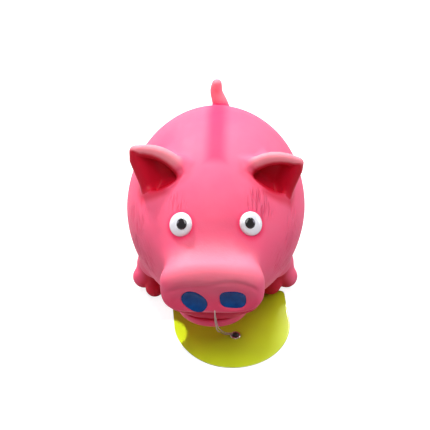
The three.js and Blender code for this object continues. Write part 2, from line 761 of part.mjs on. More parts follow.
function tag() {
  const group = new THREE.Group();
  group.position.set(eyeletX, eyeletY, 0);
  const card = new THREE.Group();
  card.rotation.z = cardTurn;
  const outline = new THREE.Shape();
  const left = cardRoundCentre.x - cardHalfWidth;
  const right = cardRoundCentre.x + cardHalfWidth;
  const cornerY = cardFarEdge - cardCornerRadius;
  outline.absarc(cardRoundCentre.x, cardRoundCentre.y, cardHalfWidth, Math.PI, 2 * Math.PI, false);
  outline.lineTo(right, cornerY);
  outline.absarc(right - cardCornerRadius, cornerY, cardCornerRadius, 0, Math.PI / 2, false);
  outline.absarc(left + cardCornerRadius, cornerY, cardCornerRadius, Math.PI / 2, Math.PI, false);
  outline.closePath();
  const options = { depth: cardThickness, bevelEnabled: false, curveSegments: 14 };
  const plate = new THREE.ExtrudeGeometry(outline, options);
  plate.translate(0, 0, cardLow);
  const punched = cylinder(eyeletHoleRadius + eyeletTube + fitGap, 0, bellyHeight, 16);
  const barrel = eyeletHoleRadius + eyeletTube;
  const lowTop = eyeletLow + eyeletFlangeThickness;
  const highLow = cardHigh + tagGap;
  const eyelet = turned([
    [eyeletHoleRadius, eyeletLow],
    [eyeletFlangeRadius, eyeletLow],
    [eyeletFlangeRadius, lowTop],
    [barrel, lowTop],
    [barrel, highLow],
    [eyeletFlangeRadius, highLow],
    [eyeletFlangeRadius - eyeletRoll / 2, eyeletHigh - eyeletRoll / 2],
    [eyeletFlangeRadius - 2 * eyeletRoll, eyeletHigh],
    [barrel, eyeletHigh],
    [eyeletHoleRadius, highLow],
    [eyeletHoleRadius, eyeletLow],
  ], 18);
  card.add(
    named('tag_card', geometryOf(solidOf(plate).subtract(solidOf(punched))), limeCard),
    named('tag_eyelet', geometryOf(eyelet), nickel),
  );
  const headHigh = eyeletHigh + stopHeadRise;
  const stop = turned([
    [0, 0],
    [stopDiscRadius, 0],
    [stopDiscRadius, stopDiscThickness],
    [stopStemRadius, stopDiscThickness],
    [stopStemRadius, headHigh - stopHeadRound],
    [stopStemRadius - stopHeadRound, headHigh],
    [0, headHigh],
  ], 16);
  group.add(card, named('string_stop', geometryOf(stop), darkPlastic));
  return group;
}

// The string's way, chosen by hand: from the button, up past the lip, round the rim and back.
function stringLine() {
  const pivot = stringPivot();
  const startX = eyeletX - stopStemRadius - fitGap;
  const front = [
    [startX, eyeletY - 0.4, stringEndHeight],
    [startX - 2.2, eyeletY - 0.45, stringEndHeight],
    [6.7, -60.3, 3.1], [5.6, -62.2, 5.6], [4.8, -66.4, 11], [4.1, -72.4, 17.5],
    [3.2, -78.2, 24], [2.4, -82.4, 31], [1.8, -84.5, 38],
  ];
  const behind = [
    [2.2, -82.4, 38], [3.1, -81.7, 31.5], [4.5, -77.1, 24.2], [5.5, -71.5, 17.2], [6.4, -65.7, 10.6],
    [7, -61.7, 5.7], [8, -59.5, 3.2],
    [startX - 1.6, eyeletY + 0.4, stringEndHeight],
    [startX, eyeletY + 0.4, stringEndHeight],
  ];
  const round = [0, 45, 90, 135, 180].map((degrees) => {
    const angle = THREE.MathUtils.degToRad(degrees);
    const beside = stringLoopRadius * Math.cos(angle);
    const above = stringLoopRadius * Math.sin(angle);
    return [pivot.x, pivot.y - beside, pivot.z + above];
  });
  const drop = (y) => [pivot.x, y, pivot.z - 2 * stringLoopRadius];
  const climb = drop(pivot.y - stringLoopRadius);
  const fall = drop(pivot.y + stringLoopRadius);
  const way = [...front, climb, ...round, fall, ...behind];
  return new THREE.CatmullRomCurve3(way.map((point) => new THREE.Vector3(...point)), false, 'centripetal');
}

function tagString() {
  const section = new THREE.Shape();
  section.absarc(0, 0, stringRadius, 0, 2 * Math.PI, false);
  const geometry = new THREE.ExtrudeGeometry(section, {
    steps: stringSteps, curveSegments: stringSides / 2, bevelEnabled: false, extrudePath: stringLine(),
  });
  return named('tag_string', geometryOf(solidOf(geometry)), clearString);
}

const pig = new THREE.Group();
pig.position.y = originShiftY;
pig.add(
  skin(),
  ...eye(-1, 'left'),
  ...eye(1, 'right'),
  ...nostrils.map(nostrilPaint),
  squeaker(),
  tag(),
  tagString(),
);

export default pig;
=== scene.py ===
"""The squeaky latex pig and its blank tag, modelled over the fixed frame.

The pig's skin is one moulding. Every limb is written as a distance from its surface, the distances are
blended with round fillets, and a net of quads is drawn over the result. The eyes, the paint, the tag and
its fittings are rings of points joined into closed surfaces, and the string is a curve.

Sizes in the classes are millimetres, and every mesh is in metres. The pig faces -Y and stands on Z = 0.
The pig's own middle lies NOSE_SHIFT behind the frame's origin, because the muzzle counts in the length.
A Span is where a share starts to rise and where it is full, and what isn't a Span is a size or a place.
"""
import logging
import math
from dataclasses import dataclass
from enum import Enum
from typing import Callable, Sequence

import bpy
import numpy as np
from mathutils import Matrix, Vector


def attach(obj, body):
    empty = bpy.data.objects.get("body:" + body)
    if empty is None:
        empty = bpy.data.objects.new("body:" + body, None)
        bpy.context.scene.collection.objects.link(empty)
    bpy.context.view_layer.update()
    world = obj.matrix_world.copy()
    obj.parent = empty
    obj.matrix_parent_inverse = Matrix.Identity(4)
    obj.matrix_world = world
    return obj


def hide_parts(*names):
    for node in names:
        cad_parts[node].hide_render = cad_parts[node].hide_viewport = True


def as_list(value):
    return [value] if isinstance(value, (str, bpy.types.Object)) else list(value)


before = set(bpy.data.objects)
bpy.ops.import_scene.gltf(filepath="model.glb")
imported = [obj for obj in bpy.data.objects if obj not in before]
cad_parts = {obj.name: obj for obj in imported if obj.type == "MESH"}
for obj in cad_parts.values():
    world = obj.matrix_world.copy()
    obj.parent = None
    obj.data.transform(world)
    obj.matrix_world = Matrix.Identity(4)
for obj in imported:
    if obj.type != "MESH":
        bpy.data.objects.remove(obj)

Array = np.ndarray
Colour = tuple[float, float, float]
Place = tuple[float, float, float]
Triple = tuple[float, float, float]
Pair = tuple[float, float]
Span = tuple[float, float]
Piece = bpy.types.Object
Socket = bpy.types.NodeSocket
Distance = Callable[[Array], Array]
MM = 0.001
NOSE_SHIFT = 6.75
WHITE = (1.0, 1.0, 1.0)
COOL = (0.95, 0.92, 1.15)
NOISE_SPAN = (0.3, 0.7)
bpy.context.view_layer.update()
log = logging.getLogger("pig")


class Body(Enum):
    """The bodies of the frame that the new pieces ride on."""

    PIG = "pig"
    STRING = "string"
    STOP = "stop"
    TAG = "tag"


class Side(Enum):
    """A side of the pig, as seen from in front of it."""

    LEFT = -1
    RIGHT = 1


# Small surface arithmetic


def blend_round(first: Array, second: Array, reach: float | Array) -> Array:
    """Join two forms with a fillet: the smaller distance, less a quarter of the overlap of their near zones.

    Args:
        first: Distances to the first form.
        second: Distances to the second form.
        reach: How near the two distances are where the fillet starts.

    Returns:
        Distances to the joined form.
    """
    near = np.clip(reach - np.abs(first - second), 0, None) / reach
    return np.minimum(first, second) - near * near * reach / 4


def carve_round(form: Array, tool: Array, reach: float) -> Array:
    """Cut a tool's form out of another form, with a round edge."""
    return -blend_round(-form, tool, reach)


def smooth_step(value: Array, low: float, high: float) -> Array:
    """Rise from 0 at low to 1 at high, level at both ends."""
    share = np.clip((value - low) / (high - low), 0, 1)
    return share * share * (3 - 2 * share)


def unit(way: Array) -> Array:
    """The same way, with length 1."""
    return way / np.linalg.norm(way)


def full_turn(steps: int) -> Array:
    """Angles that share out a full turn."""
    return np.linspace(0, 2 * math.pi, steps, endpoint=False)


def on_circle(angle: Array) -> Array:
    """Places at some angles on a circle of radius 1."""
    return np.stack([np.cos(angle), np.sin(angle)], axis=-1)


def egg_distance(points: Array, centre: Array, halves: Array, fullness: float = 2.0) -> Array:
    """Distance to an egg: its size in its own half-lengths, less one, over the slope of that size.

    Args:
        points: Places, one per row.
        centre: Middle of the egg.
        halves: Half its width, length and height.
        fullness: 2 is an ellipsoid, and more fills out its corners.

    Returns:
        Distances, negative inside.
    """
    shares = np.abs((points - centre) / halves)
    size = np.maximum((shares**fullness).sum(axis=1) ** (1 / fullness), 1e-4)
    slope = np.linalg.norm(shares ** (fullness - 1) / halves, axis=1) * size ** (1 - fullness)
    return (size - 1) / np.maximum(slope, 1e-5)


def rod_distance(points: Array, line: Array, radii: Array) -> Array:
    """Distance to a round rod along a line, whose radius changes evenly between the line's points.

    Args:
        points: Places, one per row.
        line: The line's points, in order.
        radii: Radius of the rod at each of them.

    Returns:
        Distances, negative inside.
    """
    nearest = np.full(len(points), np.inf)
    for start, end, first, last in zip(line[:-1], line[1:], radii[:-1], radii[1:]):
        run = end - start
        share = np.clip((points - start) @ run / (run @ run), 0, 1)
        gap = np.linalg.norm(points - start - share[:, None] * run, axis=1)
        nearest = np.minimum(nearest, gap - (first + share * (last - first)))
    return nearest

def outline_distance(places: Array, corners: Array) -> Array:
    """Distance in a plane to a polygon with straight sides.

    Args:
        places: Places in the plane, one per row.
        corners: The polygon's corners, in order.

    Returns:
        Distances, negative inside.
    """
    nearest = np.full(len(places), np.inf)
    inside = np.zeros(len(places), dtype=bool)
    for start, end in zip(corners, np.roll(corners, -1, axis=0)):
        run = end - start
        away = places - start
        share = np.clip(away @ run / (run @ run), 0, 1)
        nearest = np.minimum(nearest, np.linalg.norm(away - share[:, None] * run, axis=1))
        above = (start[1] > places[:, 1]) != (end[1] > places[:, 1])
        with np.errstate(divide="ignore", invalid="ignore"):
            crossing = (end[0] - start[0]) * (places[:, 1] - start[1]) / (end[1] - start[1]) + start[0]
        inside ^= above & (places[:, 0] < crossing)
    return np.where(inside, -nearest, nearest)


def round_curve(points: Array, steps: int, closed: bool) -> Array:
    """Run a smooth curve through given points: a Catmull-Rom spline with evenly shared knots.

    Args:
        points: The points, in order.
        steps: Places between each point and the next.
        closed: Whether the curve comes back to its start.

    Returns:
        Places along the curve.
    """
    if closed:
        padded = np.concatenate([points[-1:], points, points[:2]])
    else:
        padded = np.concatenate([2 * points[:1] - points[1:2], points, 2 * points[-1:] - points[-2:-1]])
    a, b, c, d = (padded[i : len(padded) - 3 + i, None, :] for i in range(4))
    t = (np.arange(steps) / steps)[None, :, None]
    curve = 0.5 * (2 * b + (c - a) * t + (2 * a - 5 * b + 4 * c - d) * t**2 + (3 * b - a - 3 * c + d) * t**3)
    curve = curve.reshape(-1, points.shape[1])
    return curve if closed else np.concatenate([curve, points[-1:]])


# Meshes


def piece_from_faces(name: str, points: Array, faces: Sequence[Array], smooth: bool = True) -> Piece:
    """Put points in millimetres and faces of equal corners into a mesh object in metres.

    Args:
        name: Name of the piece.
        points: Corner places, one per row.
        faces: Arrays of corner numbers, each with as many columns as its faces have corners.
        smooth: Whether the faces are shaded smooth.

    Returns:
        The object, linked to the scene.
    """
    mesh = bpy.data.meshes.new(name)
    mesh.vertices.add(len(points))
    mesh.vertices.foreach_set("co", (points * MM).astype(np.float32).ravel())
    totals = np.concatenate([np.full(len(group), group.shape[1]) for group in faces])
    corners = np.concatenate([group.ravel() for group in faces])
    mesh.loops.add(len(corners))
    mesh.loops.foreach_set("vertex_index", corners.astype(np.int32))
    mesh.polygons.add(len(totals))
    mesh.polygons.foreach_set("loop_start", (np.cumsum(totals) - totals).astype(np.int32))
    mesh.polygons.foreach_set("use_smooth", np.full(len(totals), smooth))
    mesh.update(calc_edges=True)
    mesh.validate()
    piece = bpy.data.objects.new(name, mesh)
    bpy.context.scene.collection.objects.link(piece)
    return piece


def piece_from_rings(name: str, rings: Array, poles: Sequence[Array] = ()) -> Piece:
    """Join rings of points into a closed surface.

    Args:
        name: Name of the piece.
        rings: Ring, place on the ring and coordinate, in that order.
        poles: A point that closes the first ring and one that closes the last, or none where the last
            ring joins the first.

    Returns:
        The object.
    """
    rows, around = rings.shape[:2]
    number = np.arange(rows * around).reshape(rows, around)
    if not len(poles):
        number = np.concatenate([number, number[:1]])
    ahead = np.roll(number, -1, axis=1)
    points = rings.reshape(-1, 3)
    faces = [np.stack([number[:-1], ahead[:-1], ahead[1:], number[1:]], axis=-1).reshape(-1, 4)]
    if len(poles):
        first, last = (np.full(around, len(points) + i) for i in (0, 1))
        faces.append(np.stack([first, ahead[0], number[0]], axis=-1))
        faces.append(np.stack([last, number[-1], ahead[-1]], axis=-1))
        points = np.concatenate([points, np.asarray(poles)])
    return piece_from_faces(name, points, faces)


def turned_rings(profile: Array, sides: int, centre: Sequence[float]) -> Array:
    """Turn a profile about an upright line.

    Args:
        profile: Pairs of a radius and a height.
        sides: Places on each ring.
        centre: Place in the plane that the line stands on.

    Returns:
        One ring per pair.
    """
    circles = profile[:, None, :1] * on_circle(full_turn(sides))
    heights = np.repeat(profile[:, None, 1:], sides, axis=1)
    return np.concatenate([circles, heights], axis=-1) + np.array([*centre, 0])


def near_values(
    distance: Distance, axes: Sequence[Array], step: float, stride: int = 4, margin: float = 1.7
) -> Array:
    """Work out a form's distances on a grid: exactly near its surface, and by a coarse grid elsewhere.

    Args:
        distance: Gives the distance of each place from the surface.
        axes: The grid's places along each axis.
        step: Size of a cell.
        stride: Cells in the side of a coarse one.
        margin: How near the surface it is exact, in coarse cells.

    Returns:
        The distances.
    """
    coarse_axes = [np.append(axis[::stride], axis[-1] + step * stride) for axis in axes]
    coarse_grid = np.stack(np.meshgrid(*coarse_axes, indexing="ij"), axis=-1)
    coarse = distance(coarse_grid.reshape(-1, 3)).reshape(coarse_grid.shape[:3])
    nearest = [(np.arange(len(axis)) + stride // 2) // stride for axis in axes]
    values = coarse[np.ix_(*(np.minimum(row, size - 1) for row, size in zip(nearest, coarse.shape)))]
    near = np.abs(values) < margin * stride * step
    cells = np.argwhere(near)
    values[near] = distance(np.stack([axis[cells[:, i]] for i, axis in enumerate(axes)], axis=-1))
    return values


def net_over_form(
    distance: Distance, low: Array, high: Array, step: float, slides: int = 3
) -> tuple[Array, Array]:
    """Draw a net of quads over the surface of a form.

    A cell of the grid that the surface crosses gets one point, at the mean of the places where its edges
    are crossed. An edge of the grid that is crossed gets one quad, through the four cells round it. Then
    each point slides along the form's slope until its distance is nothing.

    Args:
        distance: Gives the distance of each place from the surface, negative inside.
        low: Lowest corner of the grid.
        high: Highest corner of the grid.
        step: Size of a cell.
        slides: How often the points slide.

    Returns:
        The points, and the quads as rows of four point numbers.
    """
    axes = [np.arange(low[i], high[i] + step, step) for i in range(3)]
    values = near_values(distance, axes, step)
    inside = values < 0
    offsets = np.array([(i, j, k) for i in (0, 1) for j in (0, 1) for k in (0, 1)])
    blocks = (tuple(slice(i, size - 1 + i) for i, size in zip(offset, inside.shape)) for offset in offsets)
    held = sum(inside[block].astype(np.int8) for block in blocks)
    crossed = (held > 0) & (held < len(offsets))
    cells = np.argwhere(crossed)
    number = np.full(crossed.shape, -1)
    number[crossed] = np.arange(len(cells))
    corners = np.stack([values[tuple((cells + offset).T)] for offset in offsets], axis=-1)
    total = np.zeros((len(cells), 3))
    count = np.zeros(len(cells))
    edges = [(a, b) for a in range(8) for b in range(a + 1, 8) if np.abs(offsets[a] - offsets[b]).sum() == 1]
    for a, b in edges:
        cut = (corners[:, a] < 0) != (corners[:, b] < 0)
        share = np.where(cut, corners[:, a] / np.where(cut, corners[:, a] - corners[:, b], 1), 0)
        total += cut[:, None] * (offsets[a] + share[:, None] * (offsets[b] - offsets[a]))
        count += cut
    points = np.array([axis[0] for axis in axes]) + step * (cells + total / count[:, None])
    quads = []
    for axis in range(3):
        second, third = (axis + 1) % 3, (axis + 2) % 3
        here = np.moveaxis(inside, (axis, second, third), (0, 1, 2))
        cell = np.moveaxis(number, (axis, second, third), (0, 1, 2))
        change = here[:-1, 1:-1, 1:-1] != here[1:, 1:-1, 1:-1]
        i, j, k = np.argwhere(change).T
        around = np.stack([cell[i, j + a, k + b] for a, b in ((0, 0), (1, 0), (1, 1), (0, 1))], axis=-1)
        outwards = here[i, j + 1, k + 1]
        quads.append(np.where(outwards[:, None], around, around[:, ::-1]))
    least_slope, longest_slide = 0.3, 0.6 * step
    for _ in range(slides):
        slope = form_slope(distance, points)
        slide = distance(points) / np.maximum((slope**2).sum(axis=1), least_slope)
        points = points - slope * np.clip(slide, -longest_slide, longest_slide)[:, None]
    return points, np.concatenate(quads)


def form_slope(distance: Distance, points: Array, reach: float = 0.08) -> Array:
    """The slope of a form's distance at each point, by differences on both sides."""
    rises = [distance(points + shift) - distance(points - shift) for shift in reach * np.eye(3)]
    return np.stack(rises, axis=-1) / (2 * reach)


def keep_values(piece: Piece, name: str, values: Array) -> None:
    """Store a number or a vector per point of a piece, for its finish to read.

    Args:
        piece: The piece.
        name: Name that the finish reads.
        values: One number or one vector per point.
    """
    kind, part = ("FLOAT", "value") if values.ndim == 1 else ("FLOAT_VECTOR", "vector")
    attribute = piece.data.attributes.new(name, kind, "POINT")
    attribute.data.foreach_set(part, values.astype(np.float32).ravel())


def settle(
    piece: Piece, body: Body, stands_for: str, material: bpy.types.Material
) -> Piece:
    """Dress a piece, make it ride on its body, hide the node that it stands for and log it.

    Args:
        piece: The piece.
        body: The body that it rides on.
        stands_for: The node that it stands for.
        material: What it is dressed in.

    Returns:
        The same piece.
    """
    piece.data.materials.append(material)
    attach(piece, body.value)
    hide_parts(stands_for)
    log.info("%s: for %s, on %s", piece.name, stands_for, body.value)
    return piece


# Finishes


class Tree:
    """A node tree, with short calls to add a node and to fill its inputs."""

    def __init__(self, owner: bpy.types.Material | bpy.types.World) -> None:
        """Empty the node tree of a material or a world."""
        owner.use_nodes = True
        self.tree = owner.node_tree
        self.tree.nodes.clear()

    def put(self, value: object, target: Socket) -> None:
        """Join an output to an input, or set the input to a plain value."""
        if isinstance(value, bpy.types.NodeSocket):
            self.tree.links.new(value, target)
        else:
            target.default_value = value

    def add(self, kind: str, settings: dict[str, object] | None = None, **sockets: object) -> bpy.types.Node:
        """Add a node.

        Args:
            kind: The node's type.
            settings: Its own properties.
            sockets: Values of its inputs or what joins them, with _ for each space in a name.

        Returns:
            The node.
        """
        node = self.tree.nodes.new(kind)
        for key, value in (settings or {}).items():
            setattr(node, key, value)
        for key, value in sockets.items():
            self.put(value, node.inputs[key.replace("_", " ")])
        return node

    def calculate(self, operation: str, *values: Socket | float) -> Socket:
        """Work out a product, a maximum or another step of arithmetic.

        Args:
            operation: The step, by its name in the Math node.
            values: What it is worked out from, in order.

        Returns:
            The result.
        """
        node = self.add("ShaderNodeMath", {"operation": operation})
        for value, target in zip(values, node.inputs):
            self.put(value, target)
        return node.outputs[0]


class Nodes(Tree):
    """The node tree of one material, with short calls for the patterns that the finishes share."""

    def __init__(self, name: str) -> None:
        """Start a material with a Principled surface, over the piece's own coordinates."""
        self.material = bpy.data.materials.new(name)
        super().__init__(self.material)
        self.surface = self.add("ShaderNodeBsdfPrincipled")
        self.add("ShaderNodeOutputMaterial", Surface=self.surface.outputs[0])
        self.place = self.add("ShaderNodeTexCoord").outputs["Object"]

    def set(self, **sockets: object) -> None:
        """Fill the surface's inputs."""
        for key, value in sockets.items():
            self.put(value, self.surface.inputs[key.replace("_", " ")])

    def kept(self, name: str, output: str = "Fac") -> Socket:
        """Read a value stored on the piece."""
        return self.add("ShaderNodeAttribute", {"attribute_name": name}).outputs[output]

    def noise(self, scale: float, detail: float, over: Socket | None = None) -> Socket:
        """A noise from 0 to 1, over the piece's own coordinates or over a vector of its own."""
        vector = self.place if over is None else over
        return self.add("ShaderNodeTexNoise", Vector=vector, Scale=scale, Detail=detail).outputs["Fac"]

    def spread(self, value: Socket, low: float, high: float, start: float = 0, end: float = 1) -> Socket:
        """Carry the stretch from low to high of a value over to start to end, and clamp it."""
        ends = {"From_Min": low, "From_Max": high, "To_Min": start, "To_Max": end}
        return self.add("ShaderNodeMapRange", Value=value, **ends).outputs["Result"]

    def tint(self, share: Socket, under: Socket | Colour, over: Colour) -> Socket:
        """Mix a colour over another.

        Args:
            share: How much of the upper colour shows.
            under: The lower colour, plain or mixed before.
            over: The upper colour.

        Returns:
            The mixed colour.
        """
        node = self.add("ShaderNodeMix", {"data_type": "RGBA"}, Factor=share)
        lower, upper = (socket for socket in node.inputs if socket.type == "RGBA")
        self.put((*under, 1) if isinstance(under, tuple) else under, lower)
        self.put((*over, 1), upper)
        return next(socket for socket in node.outputs if socket.type == "RGBA")

    def clouds(
        self, scale: float, detail: float, under: Colour, over: Colour, low: float = NOISE_SPAN[0]
    ) -> Socket:
        """Two colours that drift into each other by a noise, which starts to count at low."""
        return self.tint(self.spread(self.noise(scale, detail), low, NOISE_SPAN[1]), under, over)

    def bump(self, height: Socket, depth: float, below: Socket | None = None) -> Socket:
        """Turn a height into a bumped normal, over another if one is given.

        Args:
            height: Height from 0 to 1.
            depth: What a height of 1 stands for, in metres.
            below: A normal that the bump lies on.

        Returns:
            The normal.
        """
        node = self.add("ShaderNodeBump", Strength=1.0, Distance=depth, Height=height)
        if below is not None:
            self.put(below, node.inputs["Normal"])
        return node.outputs["Normal"]

    def relief(self, scale: float, detail: float, depth: float) -> None:
        """Lay a fine relief of noise over the surface."""
        self.set(Normal=self.bump(self.noise(scale, detail), depth))


@dataclass(frozen=True)
class LatexFinish:
    """Satin latex, dipped pink: soft mottling and fine grain, with painted light over it: a paler pink as
    painted highlight on the rims, a deep red that is the ears' paint and painted shade in the hollows, and a
    darker pink as painted shade on the muzzle's face, round the eyes and in the strokes, which also runs in a
    stripe down the back.
    """

    pink: Colour = (0.95, 0.104, 0.216)
    pale: Colour = (0.95, 0.138, 0.245)
    # Tints laid over the pink, in this order: a darker pink for painted shade and a back stripe, a paler pink
    # for painted highlight, and a deep red for the ears' paint and painted shade.
    rose: Colour = (0.93, 0.036, 0.130)
    coral: Colour = (0.95, 0.275, 0.335)
    deep: Colour = (0.64, 0.005, 0.030)
    roughness: Pair = (0.50, 0.62)
    shine: float = 0.22
    glow: float = 0.22
    glow_depth: float = 0.0022
    glow_reach: Triple = (1.0, 0.35, 0.3)
    grain_depth: float = 0.00006
    swell_depth: float = 0.00015
    stroke_edges: Span = (0.52, 0.66)
    stroke_shade: float = 0.5
    stroke_depth: float = 0.0009

    def make(self) -> bpy.types.Material:
        """Build the material: each tint lies over the last, by a share that is kept on the skin."""
        nodes = Nodes("latex_skin")
        colour = nodes.clouds(28, 3, self.pink, self.pale, 0.35)
        # The tints are painted light for the most part: the darker pink is painted shade and a back stripe,
        # the paler pink painted highlight, the deep red the ears' paint and painted shade.
        for name in ("rose", "coral", "deep"):
            colour = nodes.tint(nodes.kept(name), colour, getattr(self, name))
        strokes = nodes.spread(nodes.noise(1, 1, nodes.kept("strokes", "Vector")), *self.stroke_edges)
        cut = nodes.calculate("MULTIPLY", strokes, nodes.kept("stroke_share"))
        # Painted shade: the cut hair strokes are darkened with the darker pink.
        colour = nodes.tint(nodes.spread(cut, 0, 1, 0, self.stroke_shade), colour, self.rose)
        nodes.set(Base_Color=colour, Specular_IOR_Level=self.shine, IOR=1.5, Subsurface_Weight=self.glow)
        nodes.set(Subsurface_Scale=self.glow_depth, Subsurface_Radius=self.glow_reach)
        nodes.set(Roughness=nodes.spread(nodes.noise(55, 3), *NOISE_SPAN, *self.roughness))
        grain = nodes.bump(nodes.noise(1100, 2), self.grain_depth)
        swell = nodes.bump(nodes.noise(130, 2), self.swell_depth, grain)
        nodes.set(Normal=nodes.bump(cut, -self.stroke_depth, swell))
        return nodes.material


@dataclass(frozen=True)
class PaintFinish:
    """A thick drop of paint or moulded gloss: one colour that pools a little darker, under a clear skin."""

    name: str
    colour: Colour
    pooled: Colour
    roughness: float = 0.12
    coat: float = 0.6
    coat_roughness: float = 0.05
    shine: float = 0.5
    ripple_depth: float = 0.00008

    def make(self) -> bpy.types.Material:
        """Build the material."""
        nodes = Nodes(self.name)
        nodes.set(Base_Color=nodes.clouds(260, 2, self.colour, self.pooled, 0.35), Roughness=self.roughness)
        nodes.set(Coat_Weight=self.coat, Coat_Roughness=self.coat_roughness, Specular_IOR_Level=self.shine)
        nodes.relief(320, 1, self.ripple_depth)
        return nodes.material


@dataclass(frozen=True)
class CardFinish:
    """Coated card: lime print under a glossy film, with faint clouds and a bare pale edge."""

    lime: Colour = (0.60, 0.80, 0.014)
    olive: Colour = (0.55, 0.73, 0.016)
    core: Colour = (0.62, 0.66, 0.30)
    roughness: float = 0.35
    film: float = 0.7
    film_roughness: float = 0.12
    shine: float = 0.4
    ripple_depth: float = 0.00012

    def make(self) -> bpy.types.Material:
        """Build the material."""
        nodes = Nodes("coated_card")
        colour = nodes.tint(nodes.kept("edge"), nodes.clouds(40, 2, self.lime, self.olive), self.core)
        nodes.set(Base_Color=colour, Roughness=self.roughness)
        nodes.set(Coat_Weight=self.film, Coat_Roughness=self.film_roughness, Specular_IOR_Level=self.shine)
        nodes.relief(90, 2, self.ripple_depth)
        return nodes.material


@dataclass(frozen=True)
class MetalFinish:
    """Nickel plate with fine turning marks."""

    colour: Colour = (0.78, 0.75, 0.70)
    wear: Pair = (0.16, 0.34)
    mark_depth: float = 0.00003

    def make(self) -> bpy.types.Material:
        """Build the material."""
        nodes = Nodes("nickel_plate")
        wear = nodes.spread(nodes.noise(900, 3), *NOISE_SPAN, *self.wear)
        nodes.set(Base_Color=(*self.colour, 1), Metallic=1.0, Roughness=wear)
        nodes.relief(1500, 2, self.mark_depth)
        return nodes.material


@dataclass(frozen=True)
class PlasticFinish:
    """Moulded plastic with a fine grain, clear or solid, that clouds to a darker tone."""

    name: str
    colour: Colour
    roughness: float = 0.35
    clear: float = 0.0
    bend: float = 1.45
    cloud_tone: float = 0.8
    grain_depth: float = 0.00003

    def make(self) -> bpy.types.Material:
        """Build the material."""
        nodes = Nodes(self.name)
        darker = tuple(self.cloud_tone * part for part in self.colour)
        nodes.set(Base_Color=nodes.clouds(400, 2, self.colour, darker), Roughness=self.roughness)
        nodes.set(Transmission_Weight=self.clear, IOR=self.bend)
        nodes.relief(1400, 2, self.grain_depth)
        return nodes.material


# The studio


def stand(name: str, data: bpy.types.ID, place: Sequence[float], way: Vector) -> Piece:
    """Stand a camera or a lamp at a place and turn it.

    Args:
        name: Its name.
        data: The camera or the lamp.
        place: Where it stands, in metres.
        way: The way that it looks or shines.

    Returns:
        The object.
    """
    thing = bpy.data.objects.new(name, data)
    thing.location = place
    thing.rotation_mode = "QUATERNION"
    thing.rotation_quaternion = way.to_track_quat("-Z", "Y")
    bpy.context.scene.collection.objects.link(thing)
    return thing


@dataclass(frozen=True)
class Lamp:
    """A soft lamp: its place and size in metres, its power in watts and its tone."""

    name: str
    place: Place
    size: Pair
    power: float
    tone: Colour = WHITE
    aim: Place = (0, 0, 0.05)

    def hang(self) -> None:
        """Hang the lamp, aimed at the pig."""
        data = bpy.data.lights.new(self.name, "AREA")
        data.shape = "RECTANGLE"
        data.size, data.size_y = self.size
        data.energy = self.power
        data.color = self.tone
        stand(self.name, data, self.place, Vector(self.aim) - Vector(self.place))


@dataclass(frozen=True)
class Spot:
    """A narrow, hard spot: its place, its aim, the radius that it lights there, and its power in watts."""

    name: str
    place: Place
    aim: Place
    radius: float
    power: float
    edge: float = 0.01
    size: float = 0.001

    def hang(self) -> None:
        """Hang the spot, as wide as the disc that it lights."""
        way = Vector(self.aim) - Vector(self.place)
        data = bpy.data.lights.new(self.name, "SPOT")
        data.spot_size = 2 * math.atan(self.radius / way.length)
        data.spot_blend = self.edge
        data.shadow_soft_size = self.size
        data.energy = self.power
        stand(self.name, data, self.place, way)


